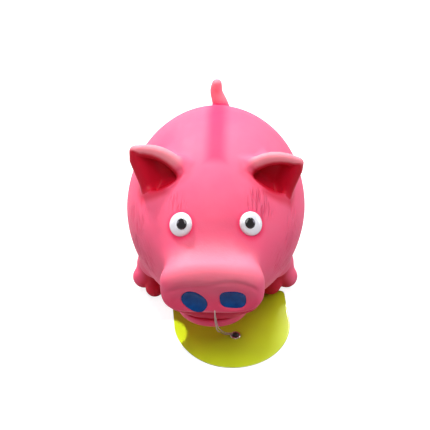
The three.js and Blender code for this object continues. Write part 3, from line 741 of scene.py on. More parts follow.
@dataclass
class Studio:
    """The camera above and in front of the pig, the lamps behind it, and a plain white floor."""

    elevation: float = 40.2
    turn: float = 1.5
    distance: float = 731
    focal_pixels: float = 1219
    frame_pixels: float = 430
    aim: Place = (0, NOSE_SHIFT, 53)
    aim_row: float = 203
    aim_column: float = 216
    sensor: float = 36
    world_glow: float = 0.06
    floor_lift: float = 0.85
    floor_grey: float = 0.40
    floor_half: float = 2200
    gloss_share: float = 0.3
    lamps: tuple[Lamp | Spot, ...] = (
        Lamp("key_behind", (-0.54, 0.93, 1.05), (0.14, 0.08), 22.5, (1.0, 0.98, 0.97)),
        Lamp("second_behind", (0.35, 1.05, 1.00), (0.24, 0.08), 8.5),
        Lamp("soft_overhead", (0.05, 0.0, 1.3), (0.9, 0.9), 9.0),
        Lamp("soft_in_front", (0.0, -0.5, 1.2), (0.6, 0.6), 6.0),
        Lamp("fill_left", (-1.0, 0.10, 0.40), (0.4, 0.4), 2.0, COOL),
        Lamp("fill_right", (1.0, 0.10, 0.40), (0.4, 0.4), 2.8, COOL),
        Spot("kicker_on_the_tag", (-0.45, -0.30, 0.95), (-0.0285, -0.0535, 0.0), 0.0125, 46.0),
    )

    def camera(self) -> None:
        """Make the camera, aimed at the middle of the pig's body, which shows above the picture's middle."""
        rise, turn = math.radians(self.elevation), math.radians(self.turn)
        forward = Vector((-math.sin(turn) * math.cos(rise), math.cos(turn) * math.cos(rise), -math.sin(rise)))
        data = bpy.data.cameras.new("camera")
        data.sensor_width = self.sensor
        data.lens = self.focal_pixels / self.frame_pixels * self.sensor
        data.shift_x = (self.frame_pixels / 2 - self.aim_column) / self.frame_pixels
        data.shift_y = (self.aim_row - self.frame_pixels / 2) / self.frame_pixels
        data.clip_start = 0.01
        place = (Vector(self.aim) - forward * self.distance) * MM
        bpy.context.scene.camera = stand("camera", data, place, forward)

    def light(self) -> None:
        """Hang the lamps, in a world that is white to the eye and through clear pieces, and dimmer in gloss.
        """
        for lamp in self.lamps:
            lamp.hang()
        world = bpy.data.worlds.new("studio")
        bpy.context.scene.world = world
        tree = Tree(world)
        strength = self.white_to_the_eye(tree, self.world_glow, 1.0)
        sky = tree.add("ShaderNodeBackground", Color=(*WHITE, 1), Strength=strength)
        tree.add("ShaderNodeOutputWorld", Surface=sky.outputs[0])

    def white_to_the_eye(self, tree: Tree, glow: float, seen: float) -> Socket:
        """A strength that is full where it is seen or shows through, less in gloss, and a glow to the rest.

        Args:
            tree: The tree of the world or of the floor's finish.
            glow: Strength for diffuse rays.
            seen: Strength for the camera and through clear pieces.

        Returns:
            The strength.
        """
        ray = tree.add("ShaderNodeLightPath").outputs
        direct = tree.calculate("MAXIMUM", ray["Is Camera Ray"], ray["Is Transmission Ray"])
        glossy = tree.calculate("MULTIPLY", ray["Is Glossy Ray"], self.gloss_share)
        return tree.calculate("MULTIPLY_ADD", tree.calculate("MAXIMUM", direct, glossy), seen - glow, glow)

    def floor(self) -> None:
        """Lay a flat floor that takes the shadows, lifted to white where it is lit."""
        half = self.floor_half
        points = np.array([(-half, -half, 0), (half, -half, 0), (half, half, 0), (-half, half, 0)])
        floor = piece_from_faces("floor", points, [np.array([[0, 1, 2, 3]])], smooth=False)
        nodes = Nodes("white_floor")
        nodes.set(Base_Color=(*[self.floor_grey] * 3, 1), Roughness=0.9, Specular_IOR_Level=0.1)
        lift = self.white_to_the_eye(nodes, 0, self.floor_lift)
        nodes.set(Emission_Color=(*WHITE, 1), Emission_Strength=lift)
        floor.data.materials.append(nodes.material)


# The pig's skin


@dataclass
class Ear:
    """One ear: a hood with a fat round rim, over a pocket that is pressed into the head.

    The hood is a bowed sheet with a rounded triangle's outline. Its corners are two feet on the head and
    a tip, and its middle bows backwards, so that it opens to the front.
    """

    side: Side
    tip: Place
    tip_slant: Pair = (2.9, -4.7)
    middle_x: float = 0.9
    inner_foot: Pair = (16.7, -24.5)
    outer_foot: Pair = (42.6, -21.8)
    inner_run: Span = (-12, 9)
    arch: float = 4.5
    arch_steps: int = 7
    root_depth: float = 9
    corner_round: float = 3.6
    half_thickness: float = 2.3
    heel: float = 1.0
    heel_setback: float = 2.0
    bow: float = 8.0
    bow_run: float = 9.5
    front_fillet: float = 3.5
    back_fillet: float = 7.0
    fillet_run: float = 5
    opening_floor: float = -5.0
    opening_edge: float = 1.5
    opening_front: float = 1.0
    pocket_shift: float = 1.0
    pocket_halves: Triple = (15.5, 8.5, 3.2)
    pocket_blend: float = 5.0
    hollow_outer: Span = (2, 9)
    hollow_front: Span = (-0.6, 1.6)
    hollow_lift: float = 1.6
    hollow_rim: Span = (1.0, 1.9)
    hollow_outer_rim: Span = (-1.0, 1.2)
    hollow_back: float = 12
    hollow_skin: float = 1.5

    def stand(self, skin: "PigSkin") -> None:
        """Work out the ear's own axes and its outline from where its feet stand on the head.

        Args:
            skin: The skin that it is part of.
        """
        places = [(self.middle_x + self.side.value * x, y) for x, y in (self.inner_foot, self.outer_foot)]
        inner, outer = (np.array([x, y, skin.body_top(x, y)]) for x, y in places)
        self.middle = (inner + outer) / 2
        across = unit(outer - inner)
        spine = np.array(self.tip) - self.middle
        behind = np.cross(across, spine)
        behind *= np.sign(behind[1]) / np.linalg.norm(behind)
        upwards = np.cross(across, behind)
        upwards *= np.sign(upwards @ spine)
        self.axes = np.stack([across, upwards, behind])
        tip_across, tip_up, _ = self.axes @ spine
        foot = np.linalg.norm(outer - inner) / 2 - self.corner_round
        slant_across, slant_up = self.tip_slant
        run = np.array([-foot - tip_across, -tip_up])
        share = np.linspace(0, 1, self.arch_steps)[:, None]
        arch_way = np.array([run[1], -run[0]]) / np.linalg.norm(run)
        arched = (tip_across, tip_up) + share * run + 4 * self.arch * share * (1 - share) * arch_way
        below = [(-foot, -self.root_depth), (foot, -self.root_depth), (foot, 0)]
        self.corners = np.vstack([below, (tip_across + slant_across, tip_up + slant_up), arched])
        x, y = (self.middle + self.pocket_shift * across)[:2]
        self.pocket_middle = np.array([x, y, skin.body_top(x, y)])
        normal = unit((self.pocket_middle - skin.body_middle) / np.array(skin.body_halves) ** 2)
        level = unit(across - (across @ normal) * normal)
        self.pocket_axes = np.stack([level, np.cross(normal, level), normal])

    def outline_gap(self, points: Array) -> tuple[Array, Array, Array]:
        """Measure places against the hood's outline in its own plane.

        Args:
            points: The places.

        Returns:
            The gap from the outline, negative inside, the place behind its plane, and the share of the
            way from the outer side to the inner foot.
        """
        across, upwards, behind = self.axes @ (points - self.middle).T
        gap = outline_distance(np.stack([across, upwards], axis=1), self.corners) - self.corner_round
        return gap, behind, 1 - smooth_step(across, *self.inner_run)

    def bowed(self, gap: Array) -> tuple[Array, Array]:
        """How far the sheet bows back at a gap inside its outline, and how steeply: half a wave of a sine."""
        turn = math.pi * np.clip(-gap / self.bow_run, 0, 1)
        return self.bow * (1 - np.cos(turn)) / 2, self.bow / self.bow_run * math.pi / 2 * np.sin(turn)

    def distance(self, points: Array) -> Array:
        """Distance to the hood: the gap to the bowed sheet, less half its thickness."""
        gap, behind, inner = self.outline_gap(points)
        half = self.half_thickness + self.heel * inner
        bow, slope = self.bowed(gap + half)
        off_sheet = np.abs(behind - bow - self.heel_setback * inner) / np.sqrt(1 + slope**2)
        return np.hypot(np.maximum(gap + half, 0), off_sheet) - half

    def fillet(self, points: Array) -> Array:
        """Reach of the fillet between the hood and the head: wide behind the hood, narrow in front of it."""
        gap, behind, _ = self.outline_gap(points)
        bow, _ = self.bowed(gap + self.half_thickness)
        widening = smooth_step(behind - bow, 0, self.fillet_run)
        return self.front_fillet + (self.back_fillet - self.front_fillet) * widening

    def pocket_distance(self, points: Array) -> Array:
        """Distance to what is pressed out of the head: a flat egg, and the space in front of the sheet."""
        local = (points - self.pocket_middle) @ self.pocket_axes.T
        egg = egg_distance(local, np.zeros(3), np.array(self.pocket_halves))
        gap, behind, _ = self.outline_gap(points)
        bow, _ = self.bowed(gap + self.half_thickness)
        sheet = np.maximum(gap + self.opening_edge * self.half_thickness, behind - bow)
        front = np.maximum(sheet, -behind - self.opening_front)
        upwards = self.axes[1] @ (points - self.middle).T
        return blend_round(egg, np.maximum(front, self.opening_floor - upwards), self.pocket_blend)

    def hollow_share(self, points: Array) -> Array:
        """How far places on the skin are in the hood's hollow rather than on its rim or its back.

        The rim is left out by half-thicknesses of the sheet at its inner side and by millimetres at its
        outer side, and the two run into each other.

        Args:
            points: The places.

        Returns:
            Shares from 0 to 1.
        """
        gap, behind, inner = self.outline_gap(points)
        half = self.half_thickness + self.heel * inner
        bow, _ = self.bowed(gap + half)
        outer = smooth_step(self.axes[0] @ (points - self.middle).T, *self.hollow_outer)
        in_front = smooth_step(bow - behind + self.hollow_lift * outer, *self.hollow_front)
        rims = zip(self.hollow_rim, self.hollow_outer_rim)
        off_rim = smooth_step(-gap, *(thick * half * (1 - outer) + flat * outer for thick, flat in rims))
        return in_front * off_rim * (behind > -self.hollow_back) * (self.distance(points) < self.hollow_skin)


@dataclass
class PigSkin:
    """The latex moulding: an egg with a muzzle, a lower lip, ears, legs with toes, and a tail."""

    finish: LatexFinish = LatexFinish()
    cell: float = 0.9
    grid_low: Place = (-56.0, -81.0, -2.0)
    grid_high: Place = (56.0, 81.0, 111.0)
    body_halves: Triple = (53, 71, 51)
    body_height: float = 53
    belly_height: float = 5
    belly_edge: float = 3.0
    face_y: float = -84.5
    muzzle_height: float = 59.5
    muzzle_rim: Pair = (28.8, 15.5)
    muzzle_neck: Pair = (25.2, 14.6)
    muzzle_corners: Pair = (2.7, 3.6)
    muzzle_tilt: float = math.radians(1.5)
    muzzle_length: float = 34
    rim_depth: float = 8.0
    rim_rolls: Triple = (1.6, 7.0, 9.5)
    rim_low_depth: float = 3.0
    flare_length: float = 13
    face_halves: Pair = (22, 10.5)
    face_drop: float = 4.0
    face_dish: float = 1.3
    fold_line: tuple[Pair, ...] = (
        (-26, 58.5), (-23.5, 60.3), (-18, 62.3), (-12, 63.6), (-6, 64.3), (-2, 65.0),
        (2, 66.4), (7, 67.9), (12, 68.0), (17, 66.9), (21.5, 64.8), (26, 60.5),
    )
    fold_depth: float = 0.8
    fold_reach: float = 1.5
    fold_front: Span = (72, 76)
    fold_ends: Span = (22, 27)
    muzzle_fillet: float = 11
    lip_centre: Place = (0, -63.5, 34.8)
    lip_halves: Triple = (21, 17.5, 12.5)
    lip_fullness: float = 2.15
    lip_fillet: float = 2.5
    upper_lip_centre: Place = (0, -70.5, 40.5)
    upper_lip_halves: Triple = (26, 10.5, 5)
    upper_lip_fullness: float = 2.3
    upper_lip_fillet: float = 3.0
    slit_height: float = 35.4
    slit_middle: float = -1.5
    slit_half_width: float = 12.5
    slit_half_gap: float = 1.3
    slit_smile: float = 0.9
    slit_back: float = -76.5
    slit_edge: float = 0.8
    leg_spacing: float = 35
    leg_halves: Pair = (13, 14)
    leg_rows: tuple[Pair, ...] = ((-13, 12.7), (28, 8.2))
    leg_fillets: Pair = (4.0, 10.0)
    shoulder_rise: Span = (14, 20)
    shoulder_front: Span = (10, 18)
    front_stagger: float = 2.5
    sole_flat: float = 0.6
    toe_radius: float = 7
    toe_clearance: float = 1.6
    toe_fillet: float = 2.0
    toe_places: tuple[Pair, ...] = ((8.4, -5.2), (-1.5, -11.6))
    stray_toe: Triple = (1.5, -13.5, 5.8)
    shoulder: tuple[float, float, float, float] = (1.6, -9, 22.9, 7.5)
    tail_root: float = 60
    tail_line: tuple[Place, ...] = ((1.8, 57.5, -7), (1.4, 60.5, 1), (-1.35, 63, 9.5), (-1.1, 63, 15.6))
    tail_shares: tuple[float, ...] = (0, 0.35, 0.62, 0.85, 1)
    tail_radii: tuple[float, ...] = (6.2, 5.0, 4.0, 3.6, 3.1)
    tail_fillet: float = 3.0
    ear_edge: float = 1.2
    nostril_depth: float = 2.2
    nostril_floor: float = 1.2
    nostril_edge: float = 0.9
    squeaker_y: float = 4
    squeaker_radius: float = 8.3
    squeaker_pocket: float = 19
    eyes_middle: Pair = (1.3, 82.0)
    eye_spacing: float = 19.3
    swell_height: float = 0.07
    swell_from: float = 2

    def __post_init__(self) -> None:
        """Work out the ears and nostrils that the skin is shaped with."""
        self.body_middle = np.array([0, 0, self.body_height])
        self.ears = [
            Ear(Side.LEFT, (-45.0, -16.0, 103.5)),
            Ear(Side.RIGHT, (46.2, -21.0, 101.0), (2.5, -4.0), inner_foot=(15.7, -22.0), half_thickness=2.0),
        ]
        for ear in self.ears:
            ear.stand(self)
        self.nostrils = [NostrilShape.left(), NostrilShape.right()]

    def own_places(self, places: Array) -> Array:
        """Places in the frame, carried over to the pig's own middle."""
        return places - np.array([0, NOSE_SHIFT, 0])

    def body_distance(self, points: Array) -> Array:
        """Distance to the egg of the body."""
        return egg_distance(points, self.body_middle, np.array(self.body_halves))

    def body_top(self, x: float, y: float) -> float:
        """Height of the body's upper surface over a place."""
        wide, long, high = self.body_halves
        return self.body_height + high * math.sqrt(1 - (x / wide) ** 2 - (y / long) ** 2)

    def body_underside(self, x: float, y: float) -> float:
        """Height of the body's lower surface over a place."""
        return 2 * self.body_height - self.body_top(x, y)

    def eye_seat(self, side: Side) -> tuple[Array, Array]:
        """Where an eye sits on the body, and the way that it faces: the slope of the egg there.

        Args:
            side: The eye's side.

        Returns:
            The place, from the pig's own middle, and the way, of length 1.
        """
        middle, height = self.eyes_middle
        wide, long, high = self.body_halves
        x = middle + side.value * self.eye_spacing
        rise = (height - self.body_height) / high
        y = -long * math.sqrt(1 - (x / wide) ** 2 - rise**2)
        return np.array([x, y, height]), unit(np.array([x / wide**2, y / long**2, rise / high]))

    def face_depth(self, x: Array, z: Array) -> Array:
        """How deep the muzzle's face is dished at a place: most at its middle, nothing at its rim."""
        height = z - (self.muzzle_height - self.face_drop)
        size = (x / self.face_halves[0]) ** 2 + (height / self.face_halves[1]) ** 2
        return self.face_dish * np.clip(1 - size, 0, None)

    def muzzle_distance(self, points: Array) -> Array:
        """Distance to the muzzle: a squarish tube with a waist, whose front edge is rolled round.

        The roll is a quarter of an egg between the side and the face. Its reach along the side grows from
        the lower rim to the upper one.

        Args:
            points: Places, from the pig's own middle.

        Returns:
            Distances, negative inside.
        """
        depth = points[:, 1] - self.face_y
        height = points[:, 2] - self.muzzle_height
        cosine, sine = math.cos(self.muzzle_tilt), math.sin(self.muzzle_tilt)
        x = points[:, 0] * cosine + height * sine
        z = height * cosine - points[:, 0] * sine
        waist = smooth_step(depth, self.rim_depth, self.rim_depth + self.flare_length)
        half_width, half_height = (
            rim + waist * (neck - rim) for rim, neck in zip(self.muzzle_rim, self.muzzle_neck)
        )
        corner = np.where(z > 0, *self.muzzle_corners)
        size = (np.abs(x / half_width) ** corner + np.abs(z / half_height) ** corner) ** (1 / corner)
        beside = np.hypot(x, z) * (1 - 1 / np.maximum(size, 1e-3))
        ahead = self.face_depth(points[:, 0], points[:, 2]) - depth
        low, level, high = self.rim_rolls
        upwards = np.clip(z / half_height, -1, 1)
        roll = level + upwards**2 * np.where(upwards > 0, high - level, low - level)
        shallower = np.where(upwards > 0, 0, self.rim_low_depth - self.rim_depth)
        rim_depth = self.rim_depth + upwards**2 * shallower
        side_share = beside / roll + 1
        front_share = ahead / rim_depth + 1
        out_side, out_front = np.maximum(side_share, 0), np.maximum(front_share, 0)
        length = np.hypot(out_side, out_front)
        reach = (roll * out_side**2 + rim_depth * out_front**2) / np.maximum(length**2, 1e-6)
        share = length + np.minimum(np.maximum(side_share, front_share), 0) - 1
        rounded = share * np.where(length > 1e-3, reach, roll)
        return np.maximum(rounded, depth - self.muzzle_length) + self.face_fold(points)

    def face_fold(self, points: Array) -> Array:
        """Depth of the soft fold under the muzzle's upper roll: a wavy groove with a bell-shaped section."""
        x, z = points[:, 0], points[:, 2]
        line_x, line_z = np.array(self.fold_line).T
        away = (z - np.interp(x, line_x, line_z)) / self.fold_reach
        at_face = smooth_step(-points[:, 1], *self.fold_front) * (1 - smooth_step(np.abs(x), *self.fold_ends))
        return self.fold_depth * np.exp(-(away**2)) * at_face

    def slit_distance(self, points: Array) -> Array:
        """Distance to the mouth's slit: a thin lens across the lip, deepest in the middle."""
        share = (points[:, 0] - self.slit_middle) / self.slit_half_width
        gap = self.slit_half_gap * (1 - share**2)
        level = self.slit_height + self.slit_smile * share**2
        return np.maximum(np.abs(points[:, 2] - level) - gap, points[:, 1] - self.slit_back)

    def lips_distance(self, points: Array) -> Array:
        """Distance to the two lips, each an egg, with the slit between them."""
        lower = egg_distance(points, np.array(self.lip_centre), np.array(self.lip_halves), self.lip_fullness)
        centre, halves = np.array(self.upper_lip_centre), np.array(self.upper_lip_halves)
        upper = egg_distance(points, centre, halves, self.upper_lip_fullness)
        lips = blend_round(lower, upper, self.upper_lip_fillet)
        return carve_round(lips, self.slit_distance(points), self.slit_edge)

    def leg_y(self, side: Side, row: int) -> float:
        """Where a leg stands along the pig: the right front one is a little behind the left one."""
        return self.leg_rows[row][0] + (self.front_stagger if side is Side.RIGHT and row == 0 else 0)

    def leg_balls(self, side: Side, row: int) -> list[tuple[Array, float]]:
        """The round parts of a leg: its two toes, and the shoulder over the front ones.

        Args:
            side: The leg's side.
            row: 0 in front, 1 behind.

        Returns:
            The middle and the radius of each.
        """
        toes = [(*place, self.toe_radius) for place in self.toe_places]
        if side is Side.LEFT and row == 0:
            toes[1] = self.stray_toe
        balls = [(x, back, radius + self.toe_clearance, radius) for x, back, radius in toes]
        if row == 0:
            balls.append(self.shoulder)
        y = self.leg_y(side, row)
        return [
            (np.array([side.value * (self.leg_spacing + x), y + back, height]), radius)
            for x, back, height, radius in balls
        ]

    def legs_distance(self, points: Array) -> Array:
        """Distance to the four legs, each an egg with round toes in front.

        Args:
            points: Places, from the pig's own middle.

        Returns:
            Distances, negative inside.
        """
        nearest = np.full(len(points), np.inf)
        wide, long = self.leg_halves
        for side, row in ((side, row) for side in Side for row in range(len(self.leg_rows))):
            row_y, root_depth = self.leg_rows[row]
            half = (self.sole_flat + self.body_underside(self.leg_spacing, row_y) + root_depth) / 2
            centre = np.array([side.value * self.leg_spacing, self.leg_y(side, row), half - self.sole_flat])
            leg = egg_distance(points, centre, np.array([wide, long, half]))
            for place, radius in self.leg_balls(side, row):
                leg = blend_round(leg, np.linalg.norm(points - place, axis=1) - radius, self.toe_fillet)
            nearest = np.minimum(nearest, leg)
        return nearest

    def tail_distance(self, points: Array) -> Array:
        """Distance to the tail: a stub on a gentle bend, thick at the root. Its heights start on the back."""
        back = np.array([0, 0, self.body_top(0, self.tail_root)])
        line = round_curve(np.array(self.tail_line) + back, 4, closed=False)
        radii = np.interp(np.linspace(0, 1, len(line)), self.tail_shares, self.tail_radii)
        return rod_distance(points, line, radii)

    def nostril_distance(self, points: Array, nostril: "NostrilShape") -> Array:
        """Distance to a nostril's pocket: inside its outline, and less than its depth behind the face."""
        x, z = points[:, 0], points[:, 2]
        behind = points[:, 1] - self.face_y - self.face_depth(x, z) - self.nostril_depth
        return -blend_round(-nostril.outline_gap(x, z), -behind, self.nostril_floor)

    def swelling(self, points: Array) -> Array:
        """The slight unevenness of a hand-dipped skin: a few long waves added together."""
        x, y, z = (points / 10).T
        waves = np.sin(1.3 * x + 0.7 * z) + np.sin(0.9 * y - 1.1 * x + 1.0) + np.sin(1.7 * z + 0.6 * y + 2.0)
        return self.swell_height * waves * (points[:, 2] > self.swell_from)

    def distance(self, places: Array) -> Array:
        """Distance to the whole skin, its parts joined or cut out one by one.

        Args:
            places: Places in the frame, in millimetres.

        Returns:
            Distances in millimetres, negative inside.
        """
        points = self.own_places(places)
        x, y, z = points.T
        form = carve_round(self.body_distance(points), z - self.belly_height, self.belly_edge)
        for ear in self.ears:
            form = carve_round(form, ear.pocket_distance(points), self.ear_edge)
        form = blend_round(form, self.muzzle_distance(points), self.muzzle_fillet)
        form = blend_round(form, self.lips_distance(points), self.lip_fillet)
        low, high = self.leg_fillets
        at_shoulder = smooth_step(z, *self.shoulder_rise) * smooth_step(-y, *self.shoulder_front)
        form = blend_round(form, self.legs_distance(points), low + (high - low) * at_shoulder)
        form = blend_round(form, self.tail_distance(points), self.tail_fillet)
        for ear in self.ears:
            form = blend_round(form, ear.distance(points), ear.fillet(points))
        for nostril in self.nostrils:
            form = carve_round(form, self.nostril_distance(points, nostril), self.nostril_edge)
        pocket = np.hypot(x, y - self.squeaker_y) - self.squeaker_radius
        form = np.maximum(form, -np.maximum(pocket, z - self.squeaker_pocket))
        return np.maximum(form + self.swelling(points), -z)

    def make(self) -> Piece:
        """Build the skin, colour it and settle it."""
        low, high = np.array(self.grid_low), np.array(self.grid_high)
        places, quads = net_over_form(self.distance, low, high, self.cell)
        skin = piece_from_faces("pig_skin", places, [quads])
        for name, values in SkinColours(self).measure(self.own_places(places)).items():
            keep_values(skin, name, values)
        return settle(skin, Body.PIG, "skin", self.finish.make())


@dataclass(frozen=True)
class StrokePatch:
    """A patch of short hair strokes on the head: its middle, its reach and the way the strokes run."""

    middle: Place
    along: Triple
    reach: float
    strength: float = 1.0
    spacing: float = 1.3
    length: float = 12
    fade: float = 0.6

    def measure(self, points: Array, body_middle: Array) -> tuple[Array, Array]:
        """Measure places in strokes, across and along the way that they run.

        Args:
            points: The places.
            body_middle: Middle of the body, which tells what is outwards.

        Returns:
            The measures, and the patch's weight at each place.
        """
        middle = np.array(self.middle)
        run = unit(np.array(self.along))
        side = unit(np.cross(run, middle - body_middle))
        away = points - middle
        gap = np.linalg.norm(away, axis=1)
        weight = self.strength * smooth_step(self.reach - gap, 0, self.fade * self.reach)
        return np.stack([away @ side / self.spacing, away @ run / self.length, 0 * gap], axis=1), weight


@dataclass
class SkinColours:
    """The tints on the skin, mostly painted light, and the hair strokes cut into it, as shares from 0 to 1.

    "Front" spans run forwards from the pig's middle, and "off_body" ones run outwards from the egg of the
    body. The tints are a paler pink as painted highlight on the rims, the snout's top and the tail; a deep
    red that is the ears' paint and painted shade in their hollows, and painted shade under the muzzle's rim
    and on the feet; and a darker pink that is painted shade on the face of the muzzle and painted shadow
    round the eyes, and that also runs as a stripe down the back.
    """

    skin: PigSkin
    # Painted highlight: the paler pink on the ears, the snout's top, the lower rim's edge and the tail.
    ear_skin: Span = (-1.5, 0.0)
    ear_off_body: Span = (1.0, 6.0)
    snout_front: Span = (58, 68)
    snout_height: Span = (62, 71)
    snout_highlight_share: float = 0.45
    rim_line: float = 1.0
    rim_half: float = 0.9
    rim_front: Span = (80.5, 83)
    rim_end: float = 27
    rim_highlight_share: float = 0.6
    tail_off_body: Span = (1.0, 5.0)
    tail_start: float = 50
    tail_highlight_share: float = 0.9
    # Deep red in and below the ears' pockets: the ears' paint, with painted shade.
    pocket_in_body: Span = (-0.6, 1.4)
    pocket_fade: Span = (1.5, 4.0)
    lip_in_body: Span = (-1.5, 0.5)
    lip_fade: Span = (2.0, 5.5)
    lip_outer: Span = (-8, 0)
    lip_share: float = 0.8
    # Painted shade under the muzzle's rim.
    under_rim: Span = (1.2, 2.4)
    under_rim_height: Span = (34.6, 36.0)
    under_rim_front: Span = (62, 68)
    under_rim_shade_share: float = 0.6
    # Painted shade on the front feet, spared on the outer toes.
    foot_off_body: Span = (0.3, 2.5)
    foot_start: float = 4
    foot_top: Span = (15, 19)
    foot_shade_share: float = 0.95
    toe_spared: Span = (0.9, 1.6)
    toe_outside: Triple = (5.0, 1.0, 3.0)
    stripe: tuple[float, float, float, float] = (-6.0, 6.5, -22.0, 80.0)
    stripe_edge: Span = (-3.0, 5.0)
    stripe_off_body: float = 2
    stripe_rise: float = 16
    # Painted shade on the lower face of the muzzle.
    face_front: Span = (70, 78)
    face_top: Span = (50, 63)
    face_shade_share: float = 0.6
    # Painted shadow in a ring round each eye, centred a little below it.
    eye_shadow_ring: Span = (6.8, 10.0)
    eye_shadow_drop: float = 1.0
    eye_shadow_share: float = 0.9
    patches: tuple[StrokePatch, ...] = (
        StrokePatch((-38, -42, 50), (0.5, -0.5, -0.7), 19),
        StrokePatch((-46, -32, 66), (0.3, -0.6, -0.6), 15, 0.9),
        StrokePatch((40, -42, 52), (-0.5, -0.5, -0.7), 18, 0.9),
        StrokePatch((46, -30, 68), (-0.3, -0.6, -0.6), 13, 0.7),
        StrokePatch((25, -40, 86), (0.05, -0.8, -0.5), 12, 0.9),
        StrokePatch((-20, -42, 86), (-0.05, -0.8, -0.5), 9, 0.5),
    )

    def measure(self, points: Array) -> dict[str, Array]:
        """Work out every share.

        Args:
            points: The skin's points, from the pig's own middle.

        Returns:
            Values per point, by the names that the finish reads.
        """
        off_body = self.skin.body_distance(points)
        below_rim = self.skin.muzzle_height - self.skin.muzzle_rim[1] + self.rim_line - points[:, 2]
        strokes, stroke_share = self.strokes(points)
        return {
            "coral": self.coral(points, off_body, below_rim),
            "deep": self.deep(points, off_body, below_rim),
            "rose": self.rose(points, off_body),
            "strokes": strokes,
            "stroke_share": stroke_share,
        }

    def coral(self, points: Array, off_body: Array, below_rim: Array) -> Array:
        """Share of the paler pink, a painted highlight: on the ears' hoods, the snout's top, the lower rim's
        edge and the tail.

        Args:
            points: Places on the skin.
            off_body: Their distances from the egg of the body.
            below_rim: How far they are below the lower rim's edge.

        Returns:
            The shares.
        """
        x, y, z = points.T
        # Painted highlight on the ears' hoods.
        off_head = smooth_step(off_body, *self.ear_off_body)
        ears = [smooth_step(-ear.distance(points), *self.ear_skin) * off_head for ear in self.skin.ears]
        # Painted highlight on the snout's top.
        snout = smooth_step(-y, *self.snout_front) * smooth_step(z, *self.snout_height)
        # Painted highlight along the lower rim's edge.
        edge = np.exp(-((below_rim / self.rim_half) ** 2)) * smooth_step(-y, *self.rim_front)
        edge *= np.abs(x) < self.rim_end
        # The tail made paler, as painted light.
        tail = smooth_step(off_body, *self.tail_off_body)
        tail *= (y > self.tail_start) & (z > self.skin.body_height)
        shares = [*ears, self.snout_highlight_share * snout, self.rim_highlight_share * edge, self.tail_highlight_share * tail]
        return np.clip(np.max(shares, axis=0), 0, 1)

    def deep(self, points: Array, off_body: Array, below_rim: Array) -> Array:
        """Share of deep red: the ears' paint with painted shade in their hollows, and painted shade under the
        muzzle's rim and on the front feet but their outer toes.

        Args:
            points: Places on the skin.
            off_body: Their distances from the egg of the body.
            below_rim: How far they are below the lower rim's edge.

        Returns:
            The shares.
        """
        x, y, z = points.T
        hollows = []
        # The ears' deep red: their paint, with painted shade in the hollows.
        for ear in self.skin.ears:
            gap = ear.pocket_distance(points)
            pocket = smooth_step(-off_body, *self.pocket_in_body) * (1 - smooth_step(gap, *self.pocket_fade))
            lip = smooth_step(-off_body, *self.lip_in_body) * (1 - smooth_step(gap, *self.lip_fade))
            lip *= self.lip_share * smooth_step(ear.axes[0] @ (points - ear.middle).T, *self.lip_outer)
            hollows += [ear.hollow_share(points), pocket, lip]
        # Painted shade under the muzzle's rim.
        under = smooth_step(below_rim, *self.under_rim) * smooth_step(z, *self.under_rim_height)
        under *= smooth_step(-y, *self.under_rim_front)
        # Painted shade on the front feet, spared on the outer toes.
        foot = smooth_step(off_body, *self.foot_off_body) * (y < -self.foot_start)
        foot *= 1 - smooth_step(z, *self.foot_top)
        for side in Side:
            (toe, radius), *_ = self.skin.leg_balls(side, 0)
            spared = toe + np.array(self.toe_outside) * (side.value, 1, 1)
            share = smooth_step(np.linalg.norm(points - spared, axis=1) / radius, *self.toe_spared)
            foot = np.where(x * side.value > 0, foot * share, foot)
        return np.max([*hollows, self.under_rim_shade_share * under, self.foot_shade_share * foot], axis=0)

    def rose(self, points: Array, off_body: Array) -> Array:
        """Share of the darker pink: a stripe down the back, painted shade on the muzzle's face, and a painted
        shadow in a ring round each eye.

        Args:
            points: Places on the skin.
            off_body: Their distances from the egg of the body.

        Returns:
            The shares.
        """
        x, y, z = points.T
        left, right, front, rear = self.stripe
        within = np.min([x - left, right - x, y - front, rear - y], axis=0)
        body_height = self.skin.body_height
        stripe = smooth_step(within, *self.stripe_edge) * (off_body < self.stripe_off_body)
        stripe *= smooth_step(z, body_height, body_height + self.stripe_rise)
        # Painted shade on the lower face of the muzzle.
        face = smooth_step(-y, *self.face_front) * (1 - smooth_step(z, *self.face_top))
        shares = [stripe, self.face_shade_share * face]
        # Painted shadow in a ring round each eye, centred a little below it.
        for side in Side:
            middle = self.skin.eye_seat(side)[0] - np.array([0, 0, self.eye_shadow_drop])
            away = np.linalg.norm(points - middle, axis=1)
            shares.append(self.eye_shadow_share * (1 - smooth_step(away, *self.eye_shadow_ring)))
        return np.max(shares, axis=0)

    def strokes(self, points: Array) -> tuple[Array, Array]:
        """The strokes' measures, mixed where patches meet, and how far the strokes are cut.

        Args:
            points: Places on the skin.

        Returns:
            The measures, and the share of the largest patch.
        """
        total = np.zeros((len(points), 3))
        share = np.zeros(len(points))
        for patch in self.patches:
            local, weight = patch.measure(points, self.skin.body_middle)
            total += weight[:, None] * local
            share = np.maximum(share, weight)
        return total / np.maximum(share, 1e-3)[:, None], share


# Nostrils and eyes


